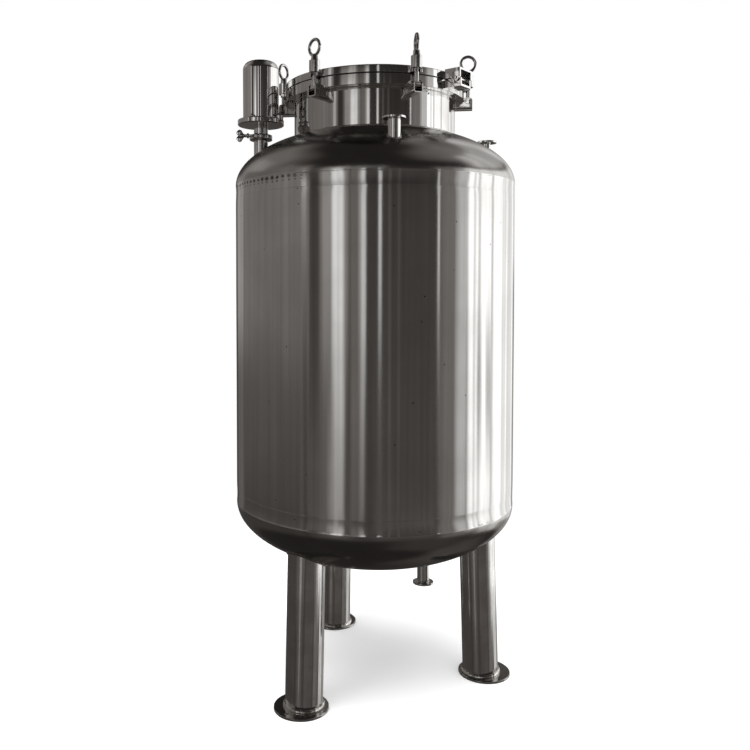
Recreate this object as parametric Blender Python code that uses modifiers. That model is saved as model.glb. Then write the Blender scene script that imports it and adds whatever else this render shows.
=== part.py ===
"""Vertical stainless steel storage tank on three tubular legs, with a bolted manway.

Metres, +Z up, origin on the tank's axis at floor level. An azimuth is measured in degrees
from the front (-Y) towards the right (+X). A fitting's own frame has X outward, Y along
the wall and Z up. The barrel, its dished ends and the manway are turned round the axis.
"""
import math

import bmesh
import bpy
from mathutils import Matrix, Vector

# Clearance between pieces that touch, the modifiers' merge distance, how deep pieces that are
# joined reach into each other, and how far a cutter runs past what it cuts
GAP = 0.0003
MERGE = 0.00005
SINK = 0.006
OVERRUN = 0.010

# Sides of round pieces: tubes and plates, and pins, rods and screws
TUBE_STEPS = 24
PIN_STEPS = 12

# Vessel
SHELL_RADIUS = 0.500
WALL = 0.004
LOWER_WELD_Z = 0.680
UPPER_WELD_Z = 1.712
LOWER_TANGENT_Z = 0.630
UPPER_TANGENT_Z = 1.760
TOP_DISH = 0.210
BOTTOM_DISH = 0.215
SHELL_STEPS = 48
DISH_STEPS = 5

# Manway
NECK_RADIUS = 0.289
NECK_BORE = NECK_RADIUS - WALL
RIM_RADIUS = 0.321
NECK_FLANGE_Z = 2.057
NECK_FLANGE_THICKNESS = 0.035
GASKET_Z = NECK_FLANGE_Z + NECK_FLANGE_THICKNESS + GAP
GASKET_THICKNESS = 0.0022
GASKET_RADIUS = 0.317
LID_Z = GASKET_Z + GASKET_THICKNESS + GAP
LID_RIM_THICKNESS = 0.0252
LID_TOP = LID_Z + LID_RIM_THICKNESS
LID_RIM_BORE = 0.262
LID_DISH = 0.055
LID_SKIRT = 0.008
LID_DISH_STEPS = 4

# Swing bolts: six, evenly round the manway
BOLT_AZIMUTHS = {
    "front_left": -36.0,
    "front_right": 24.0,
    "right": 84.0,
    "back_right": 144.0,
    "back_left": 204.0,
    "left": 264.0,
}
BOLT_CIRCLE = 0.335
PIVOT_Z = 2.056
PIVOT_PIN_RADIUS = 0.005
PIVOT_HEAD_RADIUS = 0.010
PIVOT_HEAD_THICKNESS = 0.003
ROD_RADIUS = 0.008
ROD_TOP = 0.084
BARREL_RADIUS = 0.011
BARREL_WIDTH = 0.024
BRACKET_WALL = 0.004
BRACKET_WIDTH = 0.034
BRACKET_REACH = 0.015
BRACKET_TOP = 0.013
BRACKET_BOTTOM = -0.029
BRACKET_CORNER = 0.008
PIN_END_GAP = 0.0005
LUG_THICKNESS = 0.011
LUG_WIDTH = 0.038
LUG_REACH = 0.008
LUG_SLOT_RADIUS = 0.0095
NUT_POCKET_GAP = 0.002
NUT_POCKET_FLOOR = 0.0005

# Eye nuts, with heights above the pivot
NUT_BOTTOM = 0.0512
NUT_SHOULDER = 0.092
NUT_NECK_TOP = 0.110
NUT_RADIUS = 0.018
NUT_NECK_RADIUS = 0.012
NUT_TIP_RADIUS = 0.0105
EYE_RADIUS = 0.0262
NUT_CHAMFER = 0.001
EYE_WIRE = 0.0052
EYE_CENTRE = 0.1341
EYE_STEPS = 18
EYE_WIRE_STEPS = 6
EYE_TURNS = {
    "front_left": 81.0,
    "front_right": -17.0,
    "right": 11.0,
    "back_right": 35.0,
    "back_left": 110.0,
    "left": 67.0,
}

# Lid hinge
HINGE_AZIMUTH = 54.0
HINGE_REACH = 0.376
HINGE_WIDTH = 0.078
HINGE_WALL = 0.0065
HINGE_SIDE_GAP = 0.0004
HINGE_BOTTOM = 2.065
HINGE_TOP = 2.125
HINGE_SEAM = LID_Z - 0.001
HINGE_SEAM_GAP = 0.002
HINGE_RIM_GAP = 0.006
HINGE_PIN_X = 0.360
HINGE_PIN_RADIUS = 0.005
HINGE_PIN_STANDS_OUT = 0.003
HINGE_TAB_RADIUS = 0.0105

# Nozzles on the top head and the outlet under the bottom head
BREATHER_AZIMUTH = -81.0
BREATHER_POSITION = 0.4095
BREATHER_PIPE = 0.0255
BREATHER_FERRULE = 0.032
BREATHER_JOINT_Z = 1.932
BREATHER_DISC_Z = 1.975
BREATHER_DISC_THICKNESS = 0.020
BREATHER_DISC_RADIUS = 0.0825
BREATHER_COVER_RADIUS = 0.0635
BREATHER_COVER_TOP = 2.205
BREATHER_COVER_CORNER = 0.030
BREATHER_COVER_CORNER_END = 78.0
BREATHER_COVER_CROWN = 0.004
BREATHER_COVER_WALL = 0.002
BREATHER_SCREWS = (-17.0, 180.0)
BREATHER_SCREW_RADIUS = 0.0065
BREATHER_SCREW_HEIGHT = 0.010
BREATHER_KNOB = {"azimuth": 66.0, "circle": 0.0775, "radius": 0.013, "low": 1.986, "high": 2.013}
FERRULE_THICKNESS = 0.005
TUBE_WALL = 0.002
FRONT_NOZZLE = {"azimuth": 8.5, "position": 0.420, "tube": 0.0205, "flange": 0.0365, "face": 1.931}
RIGHT_NOZZLE = {"azimuth": 99.0, "position": 0.420, "tube": 0.0125, "flange": 0.0350, "face": 1.934}
OUTLET = {"azimuth": 99.0, "position": 0.188, "tube": 0.0223, "flange": 0.0385, "face": 0.297}
NOZZLE_FLANGE_THICKNESS = 0.007

# Clamp of the breather: its bolt runs along X in front of the ring, with the wing nut at its left end
CLAMP_LIP = 0.0042
CLAMP_DEPTH = 0.0090
CLAMP_BOLT_RADIUS = 0.005
CLAMP_BOLT_SPAN = (-0.070, 0.002)
CLAMP_BOLT_STANDS_OFF = 0.008
CLAMP_EARS = ((-0.016, -0.003), (0.001, 0.012))
CLAMP_EAR_DEPTH = 0.009
CLAMP_EAR_HALF_HEIGHT = 0.008
CLAMP_KNUCKLE_REACH = 0.006
WING_HUB_RADIUS = 0.009
WING_HUB_SPAN = (-0.066, -0.036)
WING_ROOT = -0.060
WING_SIZE = (0.026, 0.006, 0.024)
WING_LEAN = 48.0

# Legs
LEG_AZIMUTHS = {"front_left": -36.0, "right": 84.0, "back_left": 204.0}
LEG_RADIUS = 0.0635
LEG_WALL = 0.004
LEG_CIRCLE = 0.392
LEG_SPLAY = 1.75
FOOT_CIRCLE = 0.405
FOOT_RADIUS = 0.092
FOOT_THICKNESS = 0.008
ANCHOR_HOLE_RADIUS = 0.0075
ANCHOR_HOLE_OFFSET = 0.072

STEEL = {
    "satin_steel": ((0.50, 0.50, 0.50), 0.30),
    "dull_steel": ((0.34, 0.34, 0.34), 0.38),
    "polished_steel": ((0.62, 0.62, 0.62), 0.14),
}
GASKET_COLOUR = (0.02, 0.02, 0.02)


def clear_scene():
    """Remove every object, so that the tank is built in an empty scene."""
    for old in list(bpy.data.objects):
        bpy.data.objects.remove(old)


def new_collection(name):
    """Link a new collection to the scene and return it."""
    collection = bpy.data.collections.new(name)
    bpy.context.scene.collection.children.link(collection)
    return collection


def make_material(name, colour, roughness, metallic):
    """Return a Principled material."""
    made = bpy.data.materials.new(name)
    made.use_nodes = True
    shader = made.node_tree.nodes["Principled BSDF"]
    shader.inputs["Base Color"].default_value = (*colour, 1.0)
    shader.inputs["Roughness"].default_value = roughness
    shader.inputs["Metallic"].default_value = metallic
    return made


def place(obj, collection):
    """Move a new object out of the scene's own collection into the one given."""
    for holder in list(obj.users_collection):
        holder.objects.unlink(obj)
    collection.objects.link(obj)
    return obj


class Workshop:
    """The collections that the pieces and the cutters go in, and the finishes."""

    def __init__(self):
        self.tank = new_collection("storage_tank")
        self.cutters = new_collection("cutters")
        self.finishes = {name: make_material(name, colour, roughness, 1.0)
                         for name, (colour, roughness) in STEEL.items()}
        self.finishes["gasket_rubber"] = make_material("gasket_rubber", GASKET_COLOUR, 0.7, 0.0)

    def piece(self, obj, name, finish):
        """Name an object as a piece of the tank, and give it its finish."""
        obj.name = name
        obj.data.name = name
        obj.data.materials.clear()
        obj.data.materials.append(self.finishes[finish])
        return place(obj, self.tank)

    def tool(self, obj, name):
        """Keep an object as a hidden operand of Boolean modifiers."""
        obj.name = name
        obj.hide_render = True
        obj.display_type = "WIRE"
        return place(obj, self.cutters)


def direction(azimuth):
    """Return the level unit vector that points outward at an azimuth."""
    angle = math.radians(azimuth)
    return Vector((math.sin(angle), -math.cos(angle), 0.0))


def turn(azimuth):
    """Return the rotation about Z that points a fitting's X outward at an azimuth."""
    return math.radians(azimuth - 90.0)


def arc(centre, radius, start, end, steps):
    """Return the points of an arc, from one angle to another in degrees."""
    angles = [math.radians(start + (end - start) * step / steps) for step in range(steps + 1)]
    return [(centre[0] + radius * math.cos(angle), centre[1] + radius * math.sin(angle)) for angle in angles]


def turned(profile, steps, closed=True):
    """Turn a profile of (radius, height) points about Z, its outer side running down."""
    mesh = bpy.data.meshes.new("turned")
    edges = [(index, index + 1) for index in range(len(profile) - 1)]
    if closed:
        edges.append((len(profile) - 1, 0))
    mesh.from_pydata([(radius, 0.0, height) for radius, height in profile], edges, [])
    obj = bpy.data.objects.new("turned", mesh)
    bpy.context.scene.collection.objects.link(obj)
    screw = obj.modifiers.new("turn", "SCREW")
    screw.axis = "Z"
    screw.angle = math.tau
    screw.steps = steps
    screw.render_steps = steps
    screw.use_merge_vertices = True
    screw.merge_threshold = MERGE
    screw.use_smooth_shade = True
    return obj


def ring_profile(inner, outer, bottom, top):
    """Return the section of a flat ring."""
    return [(outer, top), (outer, bottom), (inner, bottom), (inner, top)]


def extruded(outline, thickness):
    """Return a plate of the outline given, centred on its own XY plane."""
    curve = bpy.data.curves.new("outline", "CURVE")
    curve.dimensions = "2D"
    curve.fill_mode = "BOTH"
    curve.extrude = thickness / 2
    spline = curve.splines.new("POLY")
    spline.points.add(len(outline) - 1)
    for point, (x, y) in zip(spline.points, outline):
        point.co = (x, y, 0.0, 1.0)
    spline.use_cyclic_u = True
    return meshed(bpy.data.objects.new("outline", curve))


def meshed(source):
    """Turn a curve object into a mesh object with its caps welded on."""
    bpy.context.scene.collection.objects.link(source)
    bpy.context.view_layer.update()
    evaluated = source.evaluated_get(bpy.context.evaluated_depsgraph_get())
    mesh = bpy.data.meshes.new_from_object(evaluated)
    weld_mesh(mesh)
    obj = bpy.data.objects.new("plate", mesh)
    obj.matrix_world = source.matrix_world
    bpy.context.scene.collection.objects.link(obj)
    curve = source.data
    bpy.data.objects.remove(source)
    bpy.data.curves.remove(curve)
    return obj


def weld_mesh(mesh):
    """Merge a mesh's doubled points and point its faces outward."""
    work = bmesh.new()
    work.from_mesh(mesh)
    bmesh.ops.remove_doubles(work, verts=work.verts, dist=MERGE)
    bmesh.ops.recalc_face_normals(work, faces=work.faces)
    work.to_mesh(mesh)
    work.free()


def block(x_range, y_range, z_range):
    """Return a box between the limits given."""
    spans = (x_range, y_range, z_range)
    bpy.ops.mesh.primitive_cube_add(size=1.0)
    obj = bpy.context.object
    centre = Vector([(low + high) / 2 for low, high in spans])
    size = Matrix.Diagonal([high - low for low, high in spans] + [1.0])
    obj.data.transform(Matrix.Translation(centre) @ size)
    return obj


def cross_bar(radius, width, centre=(0.0, 0.0, 0.0), steps=PIN_STEPS):
    """Return a cylinder that lies along Y, centred on the point given."""
    bpy.ops.mesh.primitive_cylinder_add(vertices=steps, radius=radius, depth=width)
    obj = bpy.context.object
    obj.data.transform(Matrix.Translation(Vector(centre)) @ Matrix.Rotation(math.pi / 2, 4, "X"))
    return obj


def post(radius, bottom, top, centre=(0.0, 0.0), steps=TUBE_STEPS):
    """Return an upright cylinder between two heights."""
    bpy.ops.mesh.primitive_cylinder_add(vertices=steps, radius=radius, depth=top - bottom)
    obj = bpy.context.object
    obj.data.transform(Matrix.Translation(Vector((*centre, (bottom + top) / 2))))
    return obj


def boolean(obj, operand, operation):
    """Add a Boolean modifier to an object."""
    modifier = obj.modifiers.new(operation.lower(), "BOOLEAN")
    modifier.operation = operation
    modifier.object = operand


def bore_radius(pin_radius, steps=PIN_STEPS):
    """Return the radius of a faceted hole that clears a round pin by the gap."""
    return (pin_radius + GAP) / math.cos(math.pi / steps)


def set_at(obj, azimuth, radius=0.0, height=0.0):
    """Stand an object in the fitting frame of an azimuth, at a radius and a height."""
    obj.location = direction(azimuth) * radius + Vector((0.0, 0.0, height))
    obj.rotation_euler.z = turn(azimuth)
    return obj


def dish_height(radius, dish, shell=SHELL_RADIUS):
    """Return how far a dished end stands past its tangent line at a radius."""
    return dish * math.sqrt(max(0.0, 1.0 - (radius / shell) ** 2))


def dish_points(dish, inset, inner_radius):
    """Return a dished end's (radius, rise) points, from the shell in to a radius."""
    shell = SHELL_RADIUS - inset
    rise = dish - inset
    last = math.acos(inner_radius / shell)
    angles = [last * step / DISH_STEPS for step in range(DISH_STEPS + 1)]
    return [(shell * math.cos(angle), rise * math.sin(angle)) for angle in angles]


def head_section(tangent, weld, dish, bore, upward):
    """Return the section of a dished end, with its straight flange and its middle hole."""
    sign = 1.0 if upward else -1.0
    outer = [(radius, tangent + sign * rise) for radius, rise in dish_points(dish, 0.0, bore)]
    inner = [(radius, tangent + sign * rise) for radius, rise in dish_points(dish, WALL, bore)]
    outer_edge = [(SHELL_RADIUS, weld)]
    inner_edge = [(SHELL_RADIUS - WALL, weld)]
    if upward:
        return outer[::-1] + outer_edge + inner_edge + inner
    return inner[::-1] + inner_edge + outer_edge + outer


def head_solid(tangent, dish, bore, far_z):
    """Return a solid of a dished end's outer shape, grown by the gap and filled up to far_z."""
    sign = 1.0 if far_z < tangent else -1.0
    outer = [(radius, tangent + sign * rise) for radius, rise in dish_points(dish, -GAP, bore)]
    if bore > 0.0:
        outer.append((0.0, outer[-1][1]))
    end = [(SHELL_RADIUS + GAP, far_z), (0.0, far_z)]
    profile = outer[::-1] + end if sign > 0 else end[::-1] + outer
    return turned(profile, SHELL_STEPS, closed=False)


def build_vessel(shop):
    """Make the barrel and its two dished ends, with holes under the nozzles."""
    barrel = turned(ring_profile(SHELL_RADIUS - WALL, SHELL_RADIUS, LOWER_WELD_Z + GAP, UPPER_WELD_Z - GAP),
                    SHELL_STEPS)
    shop.piece(barrel, "shell_barrel", "satin_steel")
    top = turned(head_section(UPPER_TANGENT_Z, UPPER_WELD_Z, TOP_DISH, NECK_BORE, True), SHELL_STEPS)
    shop.piece(top, "top_head", "dull_steel")
    bottom = turned(head_section(LOWER_TANGENT_Z, LOWER_WELD_Z, BOTTOM_DISH, 0.0, False), SHELL_STEPS,
                    closed=False)
    shop.piece(bottom, "bottom_head", "dull_steel")
    holes = (
        (top, BREATHER_AZIMUTH, BREATHER_POSITION, BREATHER_PIPE),
        (top, FRONT_NOZZLE["azimuth"], FRONT_NOZZLE["position"], FRONT_NOZZLE["tube"]),
        (top, RIGHT_NOZZLE["azimuth"], RIGHT_NOZZLE["position"], RIGHT_NOZZLE["tube"]),
        (bottom, OUTLET["azimuth"], OUTLET["position"], OUTLET["tube"]),
    )
    for head, azimuth, position, tube in holes:
        cut_nozzle_hole(shop, head, azimuth, position, tube - TUBE_WALL)


def cut_nozzle_hole(shop, head, azimuth, position, radius):
    """Drill a head upright where a nozzle stands on it."""
    reach = SHELL_RADIUS
    height = UPPER_TANGENT_Z if head.name == "top_head" else LOWER_TANGENT_Z
    drill = post(radius, height - reach, height + reach, steps=TUBE_STEPS)
    set_at(drill, azimuth, position)
    shop.tool(drill, head.name + "_drill")
    boolean(head, drill, "DIFFERENCE")


def build_manway(shop):
    """Make the manway's neck, flange and gasket, and its dished lid."""
    foot_outer = UPPER_TANGENT_Z + dish_height(NECK_RADIUS, TOP_DISH)
    foot_inner = UPPER_TANGENT_Z + dish_height(NECK_BORE, TOP_DISH)
    seat = 2 * GAP
    neck = turned([(NECK_RADIUS, NECK_FLANGE_Z - GAP), (NECK_RADIUS, foot_outer + seat),
                   (NECK_BORE, foot_inner + seat), (NECK_BORE, NECK_FLANGE_Z - GAP)], SHELL_STEPS)
    shop.piece(neck, "manway_neck", "satin_steel")
    flange = turned(ring_profile(NECK_BORE, RIM_RADIUS, NECK_FLANGE_Z, NECK_FLANGE_Z + NECK_FLANGE_THICKNESS),
                    SHELL_STEPS)
    shop.piece(flange, "neck_flange", "satin_steel")
    gasket = turned(ring_profile(NECK_BORE, GASKET_RADIUS, GASKET_Z, GASKET_Z + GASKET_THICKNESS),
                    SHELL_STEPS)
    shop.piece(gasket, "lid_gasket", "gasket_rubber")
    build_lid(shop)


def build_lid(shop):
    """Make the lid's rim with its six forked lugs and nut pockets, and the dished plate inside it."""
    rim = turned(ring_profile(LID_RIM_BORE, RIM_RADIUS, LID_Z, LID_TOP), SHELL_STEPS)
    shop.piece(rim, "lid_rim", "satin_steel")
    for place_name, azimuth in BOLT_AZIMUTHS.items():
        lug = extruded(lug_outline(), LUG_THICKNESS)
        set_at(lug, azimuth, BOLT_CIRCLE, LID_Z + LUG_THICKNESS / 2)
        shop.tool(lug, "lid_lug_" + place_name)
        boolean(rim, lug, "UNION")
        floor = LID_Z + LUG_THICKNESS + NUT_POCKET_FLOOR
        pocket = post(NUT_RADIUS + NUT_POCKET_GAP, floor, LID_TOP + OVERRUN)
        set_at(pocket, azimuth, BOLT_CIRCLE)
        boolean(rim, shop.tool(pocket, "lid_pocket_" + place_name), "DIFFERENCE")
    shop.piece(turned(lid_dish_section(), SHELL_STEPS, closed=False), "lid_dish", "satin_steel")


def lug_outline():
    """Return the outline of a fork open outwards, centred on the bolt."""
    root = RIM_RADIUS - BOLT_CIRCLE - SINK
    half = LUG_WIDTH / 2
    slot = arc((0.0, 0.0), LUG_SLOT_RADIUS, 270.0, 90.0, 6)
    return ([(root, -half), (LUG_REACH, -half), (LUG_REACH, -LUG_SLOT_RADIUS)] + slot
            + [(LUG_REACH, LUG_SLOT_RADIUS), (LUG_REACH, half), (root, half)])


def lid_dish_section():
    """Return the section of the shallow dished plate, a spherical cap with a short skirt."""
    radius = LID_RIM_BORE - GAP
    sphere = (radius ** 2 + LID_DISH ** 2) / (2 * LID_DISH)
    top = LID_TOP + LID_DISH

    def cap(outer_radius, drop):
        radii = [outer_radius * step / LID_DISH_STEPS for step in range(LID_DISH_STEPS + 1)]
        return [(r, top - drop - sphere + math.sqrt(sphere ** 2 - r ** 2)) for r in radii]

    skirt_z = LID_Z + LID_SKIRT
    outer = cap(radius, 0.0)
    inner = cap(radius - WALL, WALL)
    return outer + [(radius, skirt_z), (radius - WALL, skirt_z)] + inner[::-1]


def manway_envelope(shop):
    """Return a solid of the neck and its flange, which brackets are cut back from."""
    bottom = UPPER_TANGENT_Z
    profile = [(0.0, LID_Z), (RIM_RADIUS + GAP, LID_Z), (RIM_RADIUS + GAP, NECK_FLANGE_Z - GAP),
               (NECK_RADIUS + GAP, NECK_FLANGE_Z - GAP), (NECK_RADIUS + GAP, bottom), (0.0, bottom)]
    return shop.tool(turned(profile, SHELL_STEPS, closed=False), "manway_envelope")


def build_swing_bolts(shop):
    """Make each swing bolt's bracket, rod and eye nut, on a pivot of its own."""
    envelope = manway_envelope(shop)
    for place_name, azimuth in BOLT_AZIMUTHS.items():
        build_bracket(shop, place_name, azimuth, envelope)
        pivot = bpy.data.objects.new("bolt_pivot_" + place_name, None)
        set_at(pivot, azimuth, BOLT_CIRCLE, PIVOT_Z)
        shop.tank.objects.link(pivot)
        for part in (build_rod(shop, place_name), build_eye_nut(shop, place_name)):
            part.parent = pivot


def bracket_outline():
    """Return the U outline of a bracket, open at the top, with its lower corners rounded."""
    half = BRACKET_WIDTH / 2
    inner = half - BRACKET_WALL
    bottom = BRACKET_BOTTOM
    floor = bottom + BRACKET_WALL
    corner = BRACKET_CORNER
    inner_corner = corner - BRACKET_WALL
    outer_side = ([(-half, BRACKET_TOP)]
                  + arc((corner - half, bottom + corner), corner, 180.0, 270.0, 3)
                  + arc((half - corner, bottom + corner), corner, 270.0, 360.0, 3)
                  + [(half, BRACKET_TOP)])
    inner_side = ([(inner, BRACKET_TOP)]
                  + arc((inner - inner_corner, floor + inner_corner), inner_corner, 0.0, -90.0, 2)
                  + arc((inner_corner - inner, floor + inner_corner), inner_corner, -90.0, -180.0, 2)
                  + [(-inner, BRACKET_TOP)])
    return outer_side + inner_side


def build_bracket(shop, place_name, azimuth, envelope):
    """Make a U bracket from the neck outwards, with the pin across it."""
    root = NECK_RADIUS - BOLT_CIRCLE - OVERRUN
    length = BRACKET_REACH - root
    bracket = extruded(bracket_outline(), length)
    upright = Matrix(((0, 0, 1, (root + BRACKET_REACH) / 2), (1, 0, 0, 0), (0, 1, 0, 0), (0, 0, 0, 1)))
    bracket.data.transform(upright)
    set_at(bracket, azimuth, BOLT_CIRCLE, PIVOT_Z)
    shop.piece(bracket, "bolt_bracket_" + place_name, "polished_steel")
    pin = cross_bar(PIVOT_PIN_RADIUS, BRACKET_WIDTH - 2 * PIN_END_GAP)
    head_width = BRACKET_WIDTH + 2 * PIVOT_HEAD_THICKNESS
    heads = cross_bar(PIVOT_HEAD_RADIUS, head_width)
    throat = cross_bar(PIVOT_HEAD_RADIUS + OVERRUN, BRACKET_WIDTH - BRACKET_WALL)
    boolean(heads, shop.tool(throat, "pin_throat_" + place_name), "DIFFERENCE")
    for name, tool in (("pin_", pin), ("pin_heads_", heads)):
        set_at(tool, azimuth, BOLT_CIRCLE, PIVOT_Z)
        shop.tool(tool, name + place_name)
    set_at(throat, azimuth, BOLT_CIRCLE, PIVOT_Z)
    boolean(bracket, pin, "UNION")
    boolean(bracket, heads, "UNION")
    boolean(bracket, envelope, "DIFFERENCE")


def build_rod(shop, place_name):
    """Make a swing bolt's rod, with the cross barrel that turns on the bracket's pin."""
    rod = post(ROD_RADIUS, 0.0, ROD_TOP, steps=PIN_STEPS)
    shop.piece(rod, "swing_bolt_" + place_name, "polished_steel")
    barrel = shop.tool(cross_bar(BARREL_RADIUS, BARREL_WIDTH), "barrel_" + place_name)
    bore = shop.tool(cross_bar(bore_radius(PIVOT_PIN_RADIUS), BARREL_WIDTH * 2), "barrel_bore_" + place_name)
    for tool, operation in ((barrel, "UNION"), (bore, "DIFFERENCE")):
        set_at(tool, BOLT_AZIMUTHS[place_name], BOLT_CIRCLE, PIVOT_Z)
        boolean(rod, tool, operation)
    return rod


def build_eye_nut(shop, place_name):
    """Make an eye nut: a round nut over the rod's end, with a ring on its neck."""
    bore = bore_radius(ROD_RADIUS)
    nut = turned([(0.0, NUT_NECK_TOP), (NUT_TIP_RADIUS, NUT_NECK_TOP), (NUT_NECK_RADIUS, NUT_SHOULDER),
                  (NUT_RADIUS, NUT_SHOULDER - NUT_CHAMFER), (NUT_RADIUS, NUT_BOTTOM), (bore, NUT_BOTTOM),
                  (bore, ROD_TOP + GAP), (0.0, ROD_TOP + GAP)], PIN_STEPS, closed=False)
    shop.piece(nut, "eye_nut_" + place_name, "polished_steel")
    bpy.ops.mesh.primitive_torus_add(major_radius=EYE_RADIUS, minor_radius=EYE_WIRE,
                                     major_segments=EYE_STEPS, minor_segments=EYE_WIRE_STEPS)
    ring = bpy.context.object
    stand = Matrix.Rotation(math.pi / 2, 4, "X")
    turned_by = Matrix.Rotation(math.radians(EYE_TURNS[place_name]), 4, "Z")
    ring.data.transform(Matrix.Translation((0.0, 0.0, EYE_CENTRE)) @ turned_by @ stand)
    set_at(ring, BOLT_AZIMUTHS[place_name], BOLT_CIRCLE, PIVOT_Z)
    boolean(nut, shop.tool(ring, "eye_" + place_name), "UNION")
    return nut


def hinge_half(width, low, high, open_top):
    """Return one half of the hinge box, as a solid block and the block that hollows it."""
    inner = width / 2 - HINGE_WALL
    root = RIM_RADIUS - 2 * SINK
    outside = block((root, HINGE_REACH), (-width / 2, width / 2), (low, high))
    if open_top:
        hollow_heights = (low + HINGE_WALL, HINGE_TOP + OVERRUN)
    else:
        hollow_heights = (HINGE_BOTTOM - OVERRUN, high - HINGE_WALL)
    hollow = block((root - OVERRUN, HINGE_REACH + OVERRUN), (-inner, inner), hollow_heights)
    return outside, hollow


def hinge_envelope(shop, name, split, lower_radius, upper_radius):
    """Return a stepped disc that a hinge half is cut back from."""
    top = HINGE_TOP + OVERRUN
    bottom = HINGE_BOTTOM - OVERRUN
    profile = [(0.0, top), (upper_radius, top), (upper_radius, split),
               (lower_radius, split), (lower_radius, bottom), (0.0, bottom)]
    return shop.tool(turned(profile, SHELL_STEPS, closed=False), name)


def build_hinge(shop):
    """Make the lid's hinge: a channel on the flange, one on the lid, and their pin."""
    lower_width = HINGE_WIDTH - 2 * (HINGE_WALL + HINGE_SIDE_GAP)
    running = RIM_RADIUS + HINGE_RIM_GAP
    seated = RIM_RADIUS + GAP
    halves = (
        ("hinge_base", lower_width, HINGE_BOTTOM, HINGE_SEAM - HINGE_SEAM_GAP, True, seated, running),
        ("hinge_arm", HINGE_WIDTH, HINGE_SEAM, HINGE_TOP, False, running, seated),
    )
    pin_centre = (HINGE_PIN_X, 0.0, HINGE_SEAM - HINGE_SEAM_GAP / 2)
    bore = bore_radius(HINGE_PIN_RADIUS)
    for name, width, low, high, open_top, lower_radius, upper_radius in halves:
        body, hollow = hinge_half(width, low, high, open_top)
        shop.piece(set_at(body, HINGE_AZIMUTH), name, "polished_steel")
        split = GASKET_Z if open_top else LID_Z - GAP
        operands = (
            (cross_bar(HINGE_TAB_RADIUS, width, pin_centre), "UNION", "_tab"),
            (hollow, "DIFFERENCE", "_hollow"),
            (cross_bar(bore, width * 2, pin_centre), "DIFFERENCE", "_bore"),
        )
        for tool, operation, label in operands:
            boolean(body, shop.tool(set_at(tool, HINGE_AZIMUTH), name + label), operation)
        envelope = hinge_envelope(shop, name + "_envelope", split, lower_radius, upper_radius)
        boolean(body, envelope, "DIFFERENCE")
    pin = cross_bar(HINGE_PIN_RADIUS, HINGE_WIDTH + 2 * HINGE_PIN_STANDS_OUT, pin_centre)
    shop.piece(set_at(pin, HINGE_AZIMUTH), "hinge_pin", "polished_steel")


def nozzle_section(tube, flange, bottom, face, flange_thickness, upward):
    """Return the section of a tube with a flange at its free end."""
    bore = tube - TUBE_WALL
    if upward:
        return [(flange, face), (flange, face - flange_thickness), (tube, face - flange_thickness),
                (tube, bottom), (bore, bottom), (bore, face)]
    return [(tube, bottom), (tube, face + flange_thickness), (flange, face + flange_thickness),
            (flange, face), (bore, face), (bore, bottom)]


def build_nozzles(shop):
    """Make the open nozzles on the top head and the outlet under the bottom head."""
    top_solid = shop.tool(head_solid(UPPER_TANGENT_Z, TOP_DISH, NECK_BORE, LOWER_TANGENT_Z), "top_head_solid")
    bottom_solid = shop.tool(head_solid(LOWER_TANGENT_Z, BOTTOM_DISH, 0.0, UPPER_TANGENT_Z),
                             "bottom_head_solid")
    tops = (("front_nozzle", FRONT_NOZZLE), ("right_nozzle", RIGHT_NOZZLE))
    for name, size in tops:
        section = nozzle_section(size["tube"], size["flange"], UPPER_TANGENT_Z, size["face"],
                                 NOZZLE_FLANGE_THICKNESS, True)
        nozzle = set_at(turned(section, TUBE_STEPS), size["azimuth"], size["position"])
        boolean(shop.piece(nozzle, name, "polished_steel"), top_solid, "DIFFERENCE")
    section = nozzle_section(OUTLET["tube"], OUTLET["flange"], LOWER_TANGENT_Z, OUTLET["face"],
                             NOZZLE_FLANGE_THICKNESS, False)
    outlet = set_at(turned(section, TUBE_STEPS), OUTLET["azimuth"], OUTLET["position"])
    boolean(shop.piece(outlet, "bottom_outlet", "polished_steel"), bottom_solid, "DIFFERENCE")
    return top_solid, bottom_solid


def at_breather(obj):
    """Stand an object on the breather's axis, with its Y along the tank's +Y."""
    obj.location = direction(BREATHER_AZIMUTH) * BREATHER_POSITION
    return obj


def build_breather(shop, top_solid):
    """Make the breather: nozzle, clamp, stem, base disc and domed cover."""
    joint = BREATHER_JOINT_Z
    bore = BREATHER_PIPE - TUBE_WALL
    nozzle = turned(nozzle_section(BREATHER_PIPE, BREATHER_FERRULE, UPPER_TANGENT_Z, joint - GAP / 2,
                                   FERRULE_THICKNESS, True), TUBE_STEPS)
    boolean(shop.piece(at_breather(nozzle), "breather_nozzle", "polished_steel"), top_solid, "DIFFERENCE")
    low = joint + GAP / 2
    stem_top = BREATHER_DISC_Z - GAP
    stem = turned([(BREATHER_PIPE, stem_top), (BREATHER_PIPE, low + FERRULE_THICKNESS),
                   (BREATHER_FERRULE, low + FERRULE_THICKNESS), (BREATHER_FERRULE, low),
                   (bore, low), (bore, stem_top)], TUBE_STEPS)
    shop.piece(at_breather(stem), "breather_stem", "polished_steel")
    build_clamp(shop)
    build_breather_head(shop)


def along_x(radius, span, y, z):
    """Return a cylinder that lies along X between two limits."""
    bar = cross_bar(radius, span[1] - span[0])
    centre = Matrix.Translation(((span[0] + span[1]) / 2, y, z))
    bar.data.transform(centre @ Matrix.Rotation(math.pi / 2, 4, "Z"))
    return bar


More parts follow.
